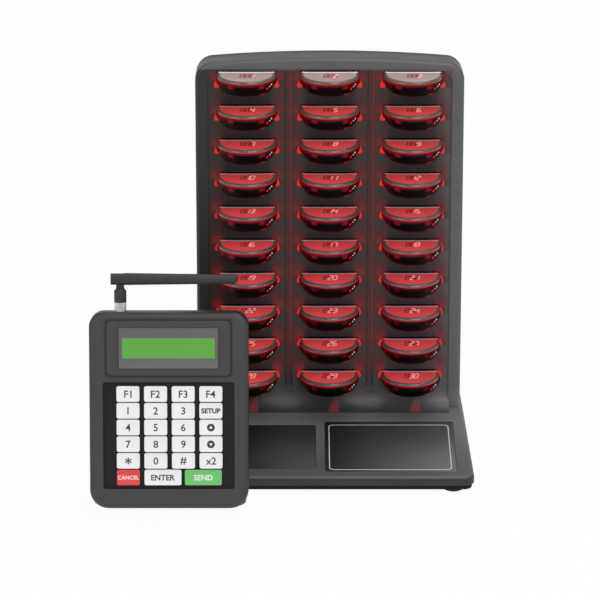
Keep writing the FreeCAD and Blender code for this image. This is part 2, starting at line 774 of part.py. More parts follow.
def turned_disc(label, profile):
    """A piece turned about its Z axis and cut flat on its contact side."""
    body = new_body(label, Placement())
    sketch = new_sketch(body, "XZ_Plane")
    trace(sketch, profile)
    turning = body.newObject("PartDesign::Revolution", "Revolution")
    turning.Profile = (sketch, [""])
    turning.ReferenceAxis = (origin_part(body, "Z_Axis"), [""])
    turning.Angle = 360
    flat = new_sketch(body, "YZ_Plane")
    deep = pager_height + PAST
    trace(flat, rectangle(sizes.pager_flat, sizes.pager_radius + PAST, -deep, as_size(PAST)))
    pocket(body, flat, sizes.pager_radius * 2 + PAST, both=True)
    bodies.remove(body)
    return body


def pager_master():
    """One pager about its own middle, with the lens's face at zero height."""
    case_top = -(sizes.lens_height + sizes.seat_gap)
    case = turned_disc(
        "pager_case",
        [
            (ZERO, -pager_height),
            (sizes.pager_foot, -pager_height),
            (sizes.pager_radius, case_top),
            (ZERO, case_top),
        ],
    )
    lens = turned_disc("pager_lens", rectangle(ZERO, sizes.lens_radius, -sizes.lens_height, ZERO))
    master = document.addObject("Part::Compound", "pager_master")
    master.Links = [case, lens]
    return master


def pagers():
    """Thirty pagers, numbered from the left in each row and from the top row down."""
    master = pager_master()
    slope = sizes.slot_slope.value
    own_turn = Rotation(Vector(1, 0, 0), -slope)
    outward = own_turn.multVec(Vector(0, -sizes.pager_reach.value, 0))
    number = 0
    for row in range(int(sizes.row_count.value)):
        height = sizes.top_row.value - sizes.row_pitch.value * row
        for x in columns:
            number += 1
            pager = document.addObject("Part::Compound", f"pager_{number:02d}")
            pager.Label = f"pager_{number:02d}"
            pager.Links = [master]
            mouth = RACK_FRAME.multVec(Vector(x.value, height, 0))
            pager.Placement = Placement(mouth + outward, own_turn)
            bodies.append(pager)
            subparts.append(pager)


# Transmitter


half_console = sizes.console_width / 2
key_middles = [key_left + key_column * index for index in range(len(KEY_ROWS[0]))]


def transmitter_front_case():
    """Front moulding: rolled edge, raised display bezel, sunk keypad well, stem holes, open rear."""
    body = new_body("transmitter_front_case", CONSOLE_FRAME)
    outline = new_sketch(body, "XY_Plane")
    lower, upper = sizes.corner_lower, sizes.corner_upper
    trace(outline, rectangle(-half_console, half_console, ZERO, console_height, lower, upper))
    pad(body, outline, sizes.console_depth, back=True)
    round_edges(
        body,
        sizes.console_roll,
        lambda edge: abs(edge.BoundBox.ZMax) < NEAR and edge.BoundBox.ZLength < NEAR,
    )

    bezel = new_sketch(body, "XY_Plane", lift=-sizes.weld)
    corner = sizes.bezel_corner
    trace(bezel, centred(sizes.bezel_width, sizes.bezel_height, 0, display_centre, corner))
    pad(body, bezel, sizes.bezel_rise + sizes.weld)
    round_edges(
        body,
        sizes.bezel_rise / 2,
        lambda edge: abs(edge.BoundBox.ZMin - sizes.bezel_rise.value) < NEAR,
    )

    well = new_sketch(body, "XY_Plane")
    trace(well, centred(well_width, well_height, 0, well_centre, sizes.well_corner))
    pocket(body, well, sizes.well_depth)

    hollow = new_sketch(body, "XY_Plane", lift=-sizes.console_depth)
    wall = sizes.side_wall
    half, top = half_console - wall, console_height - wall
    trace(hollow, rectangle(-half, half, wall, top, lower - wall, upper - wall))
    pocket(body, hollow, sizes.console_depth - sizes.face_skin, back=True)

    opening = new_sketch(body, "XY_Plane", lift=sizes.bezel_rise)
    trace(opening, centred(sizes.window_width, sizes.window_height, 0, display_centre))
    pocket(body, opening, sizes.bezel_rise + sizes.face_skin + PAST)

    holes = new_sketch(body, "XY_Plane")
    gap = sizes.fit_gap * 2
    hole_width, hole_height = sizes.stem_width + gap, sizes.stem_height + gap
    for x in (key_left, enter_centre, send_centre):
        trace(holes, centred(hole_width, hole_height, x, sizes.key_bottom))
    pocket(body, holes, sizes.face_skin + PAST)
    full_row = new_sketch(body, "XY_Plane")
    for x in key_middles:
        trace(full_row, centred(hole_width, hole_height, x, sizes.key_bottom + key_row))
    cut = pocket(body, full_row, sizes.face_skin + PAST)
    repeat(body, cut, key_row, as_size(len(KEY_ROWS)))
    subparts.append(body)


def key(label, width, x, y):
    """A key cap that floats over the well on its stem, with the stem's end over the main board."""
    frame = CONSOLE_FRAME.multiply(Placement(Vector(x.value, y.value, 0), Rotation()))
    body = new_body(label, frame)
    cap = new_sketch(body, "XY_Plane", lift=sizes.key_proud)
    trace(cap, centred(width, sizes.key_height, 0, 0, sizes.key_corner))
    pad(body, cap, sizes.key_thickness, back=True)
    stem = new_sketch(body, "XY_Plane", lift=-sizes.stem_end)
    trace(stem, centred(sizes.stem_width, sizes.stem_height, 0, 0))
    pad(body, stem, sizes.stem_end)
    subparts.append(body)


def keys():
    """Twenty keys in five rows of four, and the three of the bottom row."""
    for row, names in enumerate(reversed(KEY_ROWS), start=1):
        for label, x in zip(names, key_middles):
            key(label, sizes.key_width, x, sizes.key_bottom + key_row * row)
    key("key_cancel", sizes.key_width, key_left, sizes.key_bottom)
    key("key_enter", sizes.key_wide, enter_centre, sizes.key_bottom)
    key("key_send", sizes.key_wide, send_centre, sizes.key_bottom)


def display_window():
    """Clear window and the character display close behind it."""
    window = new_body("window", CONSOLE_FRAME)
    gap = sizes.fit_gap * 2
    face = sizes.bezel_rise - sizes.window_sink
    sketch = new_sketch(window, "XY_Plane", lift=face)
    trace(sketch, centred(sizes.window_width - gap, sizes.window_height - gap, 0, display_centre))
    pad(window, sketch, sizes.window_thickness, back=True)

    module = new_body("module", CONSOLE_FRAME)
    module_face = face - sizes.window_thickness - sizes.seat_gap
    sketch = new_sketch(module, "XY_Plane", lift=module_face)
    trace(sketch, centred(sizes.module_width, sizes.module_height, 0, display_centre))
    pad(module, sketch, module_face + board_face - sizes.seat_gap, back=True)
    group("display_window", [window, module])


# Front of the main board, below the keypad face: the stems stop short of it when pressed.
board_face = sizes.stem_end + sizes.key_travel + sizes.fit_gap


def main_board():
    """Board behind the keys and the display, held by the front case's side walls."""
    body = new_body("main_board", CONSOLE_FRAME)
    sketch = new_sketch(body, "XY_Plane", lift=-board_face)
    width = sizes.console_width - (sizes.side_wall + sizes.fit_gap) * 2
    trace(sketch, centred(width, sizes.mainboard_height, 0, sizes.mainboard_centre))
    pad(body, sketch, sizes.board_thickness, back=True)
    return body


def wedge_point(up, behind):
    """A place in the transmitter's side view, given up the face and behind it, as counter distances."""
    lean = sizes.console_lean
    return (
        up * sine(lean) + behind * cosine(lean),
        sizes.console_lift + up * cosine(lean) - behind * sine(lean),
    )


def rear_wedge():
    """Rear case: a wedge that stands on the counter and carries the front case on its sloping front."""
    body = new_body("wedge", CONSOLE_FLOOR)
    profile = new_sketch(body, "YZ_Plane")
    inset, depth = sizes.rear_inset, sizes.console_depth
    low = wedge_point(inset, depth)
    high = wedge_point(console_height - inset, depth)
    back = wedge_point(console_height - inset, depth + sizes.rear_thin)
    sole = sizes.foot_height
    trace(profile, [low, (sizes.console_toe, sole), (sizes.console_foot, sole), back, high])
    width = sizes.console_width - inset * 2
    pad(body, profile, width, both=True)
    middle = sizes.console_foot.value / 2
    round_edges(
        body,
        sizes.rear_corner,
        lambda edge: span(edge, "x") < NEAR
        and (edge.BoundBox.ZMax < sole.value + NEAR or edge.BoundBox.ZMin > back[1].value - NEAR),
    )
    round_edges(
        body,
        sizes.rear_roll,
        lambda edge: edge.BoundBox.YMax > middle
        and edge.CenterOfMass.y > sizes.console_foot.value - NEAR
        and rear_line_offset(edge, back) < NEAR,
    )

    hollow = new_sketch(body, "YZ_Plane")
    wall, top = sizes.shell_wall, console_height - sizes.hollow_high
    trace(
        hollow,
        [
            wedge_point(sizes.hollow_low, depth - sizes.weld),
            (sizes.console_toe + wall, sole + wall),
            (sizes.console_foot - wall, sole + wall),
            wedge_point(top, depth + sizes.rear_thin - wall),
            wedge_point(top, depth - sizes.weld),
        ],
    )
    pocket(body, hollow, sizes.hollow_width, both=True)

    back_slant = (back[0] - sizes.console_foot) / (back[1] - sole)
    rear_wall = sizes.console_foot + back_slant * (sizes.inlet_rise - sole)
    inlet = new_sketch(body, "XZ_Plane", lift=-(rear_wall + PAST))
    disc(inlet, half_console / 2, sizes.inlet_rise, sizes.inlet_radius)
    pocket(body, inlet, sizes.inlet_depth + PAST, back=True)
    return body


def rear_line_offset(edge, back):
    """Distance of an edge's middle from the wedge's rear plane."""
    foot = Vector(0, sizes.console_foot.value, sizes.foot_height.value)
    along = Vector(0, back[0].value, back[1].value) - foot
    middle = Vector(0, edge.CenterOfMass.y, edge.CenterOfMass.z) - foot
    return middle.cross(along).Length / along.Length


def console_feet():
    """Four small rubber feet under the rear case."""
    body = new_body("console_feet", CONSOLE_FLOOR, compound=True)
    sketch = new_sketch(body, "XY_Plane")
    rear = sizes.console_foot - sizes.pad_radius - sizes.pad_margin
    for y in (sizes.console_toe + sizes.pad_radius, rear):
        disc(sketch, sizes.pad_spread, y, sizes.pad_radius)
        disc(sketch, -sizes.pad_spread, y, sizes.pad_radius)
    pad(body, sketch, sizes.foot_height - sizes.seat_gap)
    return body


def transmitter_rear_case():
    """Rear case, its feet and the main board, as separate solids."""
    group("transmitter_rear_case", [rear_wedge(), console_feet(), main_board()])


# Antenna


def antenna_frame():
    """Frame of the antenna socket: on the case top, Y along the socket, X to the right."""
    socket = Vector(sizes.antenna_axis.value, console_height.value, -sizes.console_depth.value / 2)
    return CONSOLE_FRAME.multiply(Placement(socket, Rotation()))


def antenna_base():
    """Ribbed nut and elbow stub in one turned piece, with a flat tongue for the elbow pin."""
    body = new_body("antenna_base", antenna_frame())
    profile = new_sketch(body, "XY_Plane")
    trace(
        profile,
        [
            (ZERO, sizes.fit_gap),
            (sizes.nut_radius, sizes.fit_gap),
            (sizes.nut_radius, sizes.nut_height),
            (sizes.stub_radius, sizes.nut_height + sizes.nut_flare),
            (sizes.stub_radius, sizes.stub_height),
            (sizes.neck_radius, sizes.neck_height),
            (ZERO, sizes.neck_height),
        ],
    )
    turning = body.newObject("PartDesign::Revolution", "Revolution")
    turning.Profile = (profile, [""])
    turning.ReferenceAxis = (origin_part(body, "Y_Axis"), [""])
    turning.Angle = 360

    groove = new_sketch(body, "XZ_Plane")
    disc(groove, sizes.nut_radius, 0, sizes.rib_groove)
    cut = pocket(body, groove, sizes.nut_height)
    ring = body.newObject("PartDesign::PolarPattern", "Ribs")
    ring.Originals = [cut]
    ring.Axis = (origin_part(body, "Y_Axis"), [""])
    ring.Angle = 360
    ring.setExpression("Occurrences", sizes.nut_ribs.text)
    body.Tip = ring

    tongue = new_sketch(body, "XY_Plane")
    half = sizes.tongue_width / 2
    trace(
        tongue,
        [
            (-half, sizes.stub_height),
            (half, sizes.stub_height),
            (half, sizes.elbow_height, half, 1),
            (ZERO, sizes.elbow_height + half, half, 1),
            (-half, sizes.elbow_height),
        ],
    )
    disc(tongue, 0, sizes.elbow_height, sizes.pin_radius + sizes.pin_gap)
    pad(body, tongue, sizes.tongue_thickness, both=True)
    subparts.append(body)


def antenna_whip():
    """Tapered whip, forked at its elbow end, with the pin through the fork."""
    frame = antenna_frame().multiply(Placement(Vector(0, sizes.elbow_height.value, 0), Rotation()))
    body = new_body("antenna_whip", frame)
    profile = new_sketch(body, "XY_Plane")
    dome = sizes.whip_reach - sizes.whip_tip
    trace(
        profile,
        [
            (-sizes.whip_heel, ZERO),
            (dome, ZERO),
            (sizes.whip_reach, ZERO, sizes.whip_tip, 1),
            (dome, sizes.whip_tip),
            (sizes.whip_heel, sizes.whip_root),
            (-sizes.whip_heel, sizes.whip_root),
        ],
    )
    turning = body.newObject("PartDesign::Revolution", "Revolution")
    turning.Profile = (profile, [""])
    turning.ReferenceAxis = (origin_part(body, "X_Axis"), [""])
    turning.Angle = 360

    fork = new_sketch(body, "XY_Plane")
    reach = sizes.tongue_width / 2 + sizes.fit_gap
    past = sizes.whip_root + PAST
    trace(fork, rectangle(-(sizes.whip_heel + PAST), reach, -past, past))
    pocket(body, fork, sizes.tongue_thickness + sizes.fit_gap * 2, both=True)

    pin = new_sketch(body, "XY_Plane")
    disc(pin, 0, 0, sizes.pin_radius)
    pad(body, pin, (sizes.whip_root - sizes.pin_inset) * 2, both=True)
    subparts.append(body)


def centre_on_counter():
    """Moves every body so that the origin lies under the middle of the whole set."""
    box = FreeCAD.BoundBox()
    for part in subparts:
        box.add(part.Shape.optimalBoundingBox(False, False))
    shift = Vector(-box.Center.x, -box.Center.y, -box.ZMin)
    for body in bodies:
        body.Placement = Placement(shift, Rotation()).multiply(body.Placement)
    document.recompute()


def check_model():
    """Stops the build if any object failed or any sub-part isn't a valid shape."""
    for item in document.Objects:
        if "Invalid" in item.State or "Error" in item.State:
            raise RuntimeError(f"{item.Label} failed: {item.State}")
    for part in subparts:
        if part.Shape.isNull() or not part.Shape.isValid() or not part.Shape.Solids:
            raise RuntimeError(f"{part.Label} has no valid shape")


rack_front_shell()
rack_rear_cover()
pagers()
transmitter_front_case()
keys()
display_window()
transmitter_rear_case()
antenna_base()
antenna_whip()
document.recompute()
centre_on_counter()
check_model()
os.makedirs("parts", exist_ok=True)
for part in subparts:
    part.Shape.exportStep(f"parts/{part.Label}.step")
print(f"{len(subparts)} nodes, origin moved by {bodies[0].Placement.Base}")
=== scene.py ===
import logging
from collections.abc import Callable, Iterable, Sequence
from dataclasses import dataclass
from enum import Enum
from math import atan2, copysign, cos, hypot, pi, radians, sin

import bmesh
import bpy
from bmesh.types import BMEdge, BMesh, BMVert
from bpy.types import Material, Node, NodeSocket, NodeTree, Object
from mathutils import Matrix, Vector


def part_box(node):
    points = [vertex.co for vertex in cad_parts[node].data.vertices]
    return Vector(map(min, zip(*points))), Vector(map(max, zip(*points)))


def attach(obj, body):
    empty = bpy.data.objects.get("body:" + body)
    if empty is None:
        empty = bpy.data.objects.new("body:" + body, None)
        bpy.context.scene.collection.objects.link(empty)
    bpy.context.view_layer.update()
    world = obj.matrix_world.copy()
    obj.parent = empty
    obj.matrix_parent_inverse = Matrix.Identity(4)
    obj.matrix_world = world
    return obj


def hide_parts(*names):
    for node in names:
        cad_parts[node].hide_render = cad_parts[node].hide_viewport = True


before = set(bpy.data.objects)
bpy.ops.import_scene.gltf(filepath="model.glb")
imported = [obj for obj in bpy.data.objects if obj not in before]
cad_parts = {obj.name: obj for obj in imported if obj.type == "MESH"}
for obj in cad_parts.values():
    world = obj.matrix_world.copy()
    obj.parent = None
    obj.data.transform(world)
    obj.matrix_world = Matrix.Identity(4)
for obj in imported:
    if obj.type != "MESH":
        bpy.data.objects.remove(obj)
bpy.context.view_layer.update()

log = logging.getLogger("guest_pager_system")

MM = 0.001
Rgb = tuple[float, float, float]
Corner = tuple[float, float]
Choice = Callable[[Vector, Vector], int]


# Places


def face_frame(x: float, y: float, z: float, lean: float) -> Matrix:
    """A face that leans back: X to the right, Y up the face and Z out of it."""
    return Matrix.Translation((x, y, z)) @ Matrix.Rotation(radians(90 - lean), 4, "X")


def shift(x: float, y: float, z: float = 0.0) -> Matrix:
    """A move given in millimetres."""
    return Matrix.Translation((x * MM, y * MM, z * MM))


PANEL_LEAN, CONSOLE_LEAN, PAGER_LEAN = 9, 18, 3
SHELL_LOW, SHELL_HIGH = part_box("rack_front_shell")
BASE_DEPTH, BASE_FALL = 143.0, 6.0
RACK_X = (SHELL_LOW.x + SHELL_HIGH.x) / 2
RACK_Y = SHELL_LOW.y + BASE_DEPTH * MM
BASE_TOP = 23 * MM
RACK_FACE = face_frame(RACK_X, RACK_Y, BASE_TOP, PANEL_LEAN)
CONSOLE_X = RACK_X - 154.7 * MM
CONSOLE_Y = RACK_Y - 207 * MM
CONSOLE_FACE = face_frame(CONSOLE_X, CONSOLE_Y, 17 * MM, CONSOLE_LEAN)
CONSOLE_HEIGHT, DISPLAY_MIDDLE = 189.3, 155.4
COLUMNS, ROWS = 3, 10
COLUMN_PITCH, ROW_PITCH, TOP_ROW = 82.4, 34.3, 347.7
HALF_COLUMN = COLUMN_PITCH / 2

UPWARDS = (0.0, 0.0, 1.0)
RACK_OUT = (0.0, -cos(radians(PANEL_LEAN)), sin(radians(PANEL_LEAN)))
RACK_BACK = (0.0, cos(radians(PANEL_LEAN)), -sin(radians(PANEL_LEAN)))
CONSOLE_OUT = (0.0, -cos(radians(CONSOLE_LEAN)), sin(radians(CONSOLE_LEAN)))


def slot_mouth(number: int) -> Corner:
    """Where the slot of a pager lies on the tower's face, across and up."""
    return COLUMN_PITCH * ((number - 1) % COLUMNS - 1), TOP_ROW - ROW_PITCH * ((number - 1) // COLUMNS)


# Node trees


class Signal:
    """A value in a node tree, with the arithmetic that the finishes are written in."""

    def __init__(self, tree: NodeTree, socket: NodeSocket) -> None:
        """Keeps the socket that carries the value."""
        self.tree = tree
        self.socket = socket

    def apply(self, operation: str, *others: object) -> "Signal":
        """Adds a Math node that starts from this value.

        Args:
            operation: The Math node's operation.
            others: Its further inputs, as signals, sockets or numbers.

        Returns:
            The result.
        """
        node = self.tree.nodes.new("ShaderNodeMath")
        node.operation = operation
        for socket, value in zip(node.inputs, (self, *others)):
            connect(self.tree, socket, value)
        return Signal(self.tree, node.outputs[0])

    def __add__(self, other: object) -> "Signal":
        """The sum."""
        return self.apply("ADD", other)

    def __sub__(self, other: object) -> "Signal":
        """The difference."""
        return self.apply("SUBTRACT", other)

    def __mul__(self, other: object) -> "Signal":
        """The product."""
        return self.apply("MULTIPLY", other)

    def __abs__(self) -> "Signal":
        """The distance from zero."""
        return self.apply("ABSOLUTE")

    def shade(self, amount: float) -> "Signal":
        """A factor that is 1 where this value is 0, and less by the amount where it is 1."""
        return self * -amount + 1.0

    def step(self, low: float, high: float) -> "Signal":
        """A smooth step.

        Args:
            low: Where it is 0; it may be the larger of the two.
            high: Where it is 1.

        Returns:
            The step.
        """
        node = self.tree.nodes.new("ShaderNodeMapRange")
        node.interpolation_type = "SMOOTHSTEP"
        ends = (low, high, 0.0, 1.0) if low < high else (high, low, 1.0, 0.0)
        for socket, value in zip(node.inputs, (self, *ends)):
            connect(self.tree, socket, value)
        return Signal(self.tree, node.outputs[0])


def connect(tree: NodeTree, socket: NodeSocket, value: object) -> None:
    """Links a signal or a socket to a socket, or sets the socket's value.

    Args:
        tree: The node tree.
        socket: What is fed.
        value: What feeds it.
    """
    source = value.socket if isinstance(value, Signal) else value
    if isinstance(source, NodeSocket):
        tree.links.new(source, socket)
    else:
        socket.default_value = source


class Graph:
    """Adds nodes and links to one node tree."""

    def __init__(self, tree: NodeTree) -> None:
        """Keeps the tree that is worked on."""
        self.tree = tree

    def add(self, kind: str, **settings: object) -> Node:
        """Adds a node.

        Args:
            kind: The node's Blender type.
            settings: Attributes to set on it.

        Returns:
            The new node.
        """
        node = self.tree.nodes.new(kind)
        for name, value in settings.items():
            setattr(node, name, value)
        return node

    def feed(self, node: Node, **values: object) -> Node:
        """Feeds several inputs of a node.

        Args:
            node: The node.
            values: What feeds each input, by the input's name with _ for a space.

        Returns:
            The same node.
        """
        for name, value in values.items():
            connect(self.tree, node.inputs[name.replace("_", " ")], value)
        return node

    def group(self, name: str, **values: object) -> bpy.types.bpy_prop_collection:
        """Adds a node group, feeds its inputs and returns its outputs."""
        return self.feed(self.add("ShaderNodeGroup", node_tree=bpy.data.node_groups[name]), **values).outputs

    def object_place(self) -> NodeSocket:
        """The place in the world, because every piece stands at the origin."""
        return self.add("ShaderNodeTexCoord").outputs["Object"]

    def face_place(self, face: Matrix) -> list[Signal]:
        """Where a point lies by a leaning face.

        Args:
            face: Frame of the face.

        Returns:
            Millimetres to the right, up the face and out of it.
        """
        turned = self.feed(self.add("ShaderNodeMapping", vector_type="TEXTURE"), Vector=self.object_place(),
                           Location=face.to_translation(), Rotation=face.to_euler(), Scale=(MM, MM, MM))
        return self.split(turned.outputs[0])

    def wrap_place(self) -> list[Signal]:
        """Where a point lies in the piece's own UV map."""
        return self.split(self.add("ShaderNodeUVMap", uv_map="wrap").outputs["UV"])

    def split(self, vector: NodeSocket) -> list[Signal]:
        """The x, y and z of a vector."""
        node = self.feed(self.add("ShaderNodeSeparateXYZ"), Vector=vector)
        return [Signal(self.tree, socket) for socket in node.outputs]

    def noise(self, scale: object, detail: float = 2.0) -> Signal:
        """A noise value between 0 and 1, fixed in the world."""
        node = self.feed(self.add("ShaderNodeTexNoise"), Vector=self.object_place(), Scale=scale,
                         Detail=detail)
        return Signal(self.tree, node.outputs["Fac"])

    def layered(self, ground: object, *coats: tuple[Signal, object]) -> NodeSocket:
        """Lays colours over a ground colour.

        Args:
            ground: Colour or socket at the bottom.
            coats: Amount and colour of each coat, the lowest first.

        Returns:
            The mixed colour.
        """
        for amount, coat in coats:
            node = self.add("ShaderNodeMix", data_type="RGBA")
            for index, value in ((0, amount), (6, ground), (7, coat)):
                connect(self.tree, node.inputs[index], (*value, 1.0) if isinstance(value, tuple) else value)
            ground = node.outputs[2]
        return ground

    def scaled(self, color: NodeSocket, tone: Signal) -> NodeSocket:
        """A colour made lighter or darker."""
        node = self.add("ShaderNodeVectorMath", operation="SCALE")
        return self.feed(node, Vector=color, Scale=tone).outputs[0]


class Paint(Graph):
    """The graph of a material, with its shader and the plain colour that a finish starts from."""

    def __init__(self, tree: NodeTree, shader: Node, color: NodeSocket) -> None:
        """Keeps the shader and its colour."""
        super().__init__(tree)
        self.shader = shader
        self.color = color

    def base(self, color: NodeSocket) -> None:
        """Gives the shader another base colour."""
        self.feed(self.shader, Base_Color=color)

    def glow(self, ground: object, *coats: tuple[Signal, object]) -> None:
        """Lets the shader give off layered colours as they are."""
        self.feed(self.shader, Emission_Color=self.layered(ground, *coats), Emission_Strength=1.0)


def new_group(name: str, inputs: dict[str, str], outputs: dict[str, str]) -> tuple[Graph, object, Node]:
    """Starts a shader node group.

    Args:
        name: The group's name.
        inputs: Name and kind of each input, such as Color or Float.
        outputs: The same for each output.

    Returns:
        A Graph on its tree, the sockets that bring its inputs, and its output node.
    """
    tree = bpy.data.node_groups.new(name, "ShaderNodeTree")
    for way, sockets in (("INPUT", inputs), ("OUTPUT", outputs)):
        for label, kind in sockets.items():
            tree.interface.new_socket(label, in_out=way, socket_type=f"NodeSocket{kind}")
    graph = Graph(tree)
    return graph, graph.add("NodeGroupInput").outputs, graph.add("NodeGroupOutput")


def moulded_grain() -> None:
    """The fine texture and slight unevenness that every moulded surface shares."""
    graph, given, result = new_group(
        "moulded_grain", {"Color": "Color", "Roughness": "Float", "Grains": "Float", "Uneven": "Float"},
        {"Color": "Color", "Roughness": "Float", "Height": "Float"})
    fine = graph.noise(given["Grains"], 3.0)
    both = (graph.noise(30.0) - 0.5) * 1.6 + (fine - 0.5)
    color = graph.scaled(given["Color"], both * given["Uneven"] + 1.0)
    sheen = (both * 0.16 + given["Roughness"]).apply("MAXIMUM", 0.04)
    graph.feed(result, Color=color, Roughness=sheen, Height=fine)


def wall_shade() -> None:
    """Painted shade: deepens a colour where a surface turns away from the face that it surrounds."""
    graph, given, result = new_group(
        "wall_shade", {"Color": "Color", "Facing": "Vector", "Wall": "Float"}, {"Color": "Color"})
    along = graph.add("ShaderNodeVectorMath", operation="DOT_PRODUCT")
    connect(graph.tree, along.inputs[0], graph.add("ShaderNodeNewGeometry").outputs["Normal"])
    connect(graph.tree, along.inputs[1], given["Facing"])
    turned = Signal(graph.tree, along.outputs["Value"]).step(0.97, 0.35)
    wall = Signal(graph.tree, given["Wall"]) - 1.0
    graph.feed(result, Color=graph.scaled(given["Color"], turned * wall + 1.0))


# Finishes

BLACK = (0.0, 0.0, 0.0)


@dataclass(frozen=True)
class Finish:
    """A moulded or metal surface: colour, gloss and grain."""

    name: str
    color: Rgb
    roughness: float
    grain_size: float = 0.3
    grain_depth: float = 0.001
    uneven: float = 0.05
    metallic: float = 0.0
    coat: float = 0.0
    glow: float = 0.0
    glow_color: Rgb = (1.0, 0.01, 0.012)
    specular: float = 0.5
    # facing and wall give painted shade: faces turned away from facing are darkened towards wall times their
    # colour.
    facing: Rgb | None = None
    wall: float = 1.0

    def material(self) -> Material:
        """Builds the material, or finds it if it is there already.

        Returns:
            The material.
        """
        if self.name in bpy.data.materials:
            return bpy.data.materials[self.name]
        made = bpy.data.materials.new(self.name)
        made.use_nodes = True
        graph = Graph(made.node_tree)
        shader = made.node_tree.nodes["Principled BSDF"]
        grain = graph.group("moulded_grain", Color=(*self.color, 1.0), Roughness=self.roughness,
                            Grains=1 / (self.grain_size * MM), Uneven=self.uneven)
        bump = graph.feed(graph.add("ShaderNodeBump"), Height=grain["Height"], Distance=self.grain_depth * MM)
        color = grain["Color"]
        # Painted shade on the walls that turn away from the facing direction.
        if self.facing:
            color = graph.group("wall_shade", Color=color, Facing=self.facing, Wall=self.wall)["Color"]
        graph.feed(shader, Base_Color=color, Roughness=grain["Roughness"], Normal=bump.outputs["Normal"],
                   Specular_IOR_Level=self.specular, Metallic=self.metallic, Coat_Weight=self.coat,
                   Coat_Roughness=0.08)
        if self.glow:
            graph.feed(shader, Emission_Color=(*self.glow_color, 1.0), Emission_Strength=self.glow)
        self.dress(Paint(made.node_tree, shader, color))
        return made

    def dress(self, paint: Paint) -> None:
        """Adds what is special to a finish; plain ones add nothing."""


class PanelPlace:
    """Where a point lies on the tower's face, in millimetres, and how far it is in each zone."""

    light_top: float = 338.4
    light_pitch: float = 33.35
    field_half: float = 121.2
    field_top: float = 348.0

    def __init__(self, graph: Graph) -> None:
        """Measures the point.

        Args:
            graph: The material's graph.
        """
        self.graph = graph
        self.across, self.up, out = graph.face_place(RACK_FACE)
        self.aside = abs(self.across)
        self.beside = self.across.apply("PINGPONG", HALF_COLUMN)
        self.groove = abs(self.aside - HALF_COLUMN)
        level = (self.up * -1.0 + self.light_top) * (1 / self.light_pitch)
        self.fall = level.apply("FRACT")
        self.inside = (self.aside.step(self.field_half + 0.2, self.field_half - 0.2) * out.step(1.0, 0.0)
                       * self.up.step(self.field_top + 0.4, self.field_top))
        self.rows = self.inside * level.step(-0.75, -0.55) * level.step(9.9, 9.5)
        self.lip = (self.inside * self.groove.step(2.0, 2.5) * self.groove.step(4.1, 3.6)
                    * self.up.step(20.0, 24.0))
        self.rise = self.fall.step(0.25, 1.0) * self.rows
        self.ledge = self.fall.step(0.245, 0.20) * self.fall.step(0.0, 0.02) * self.rows


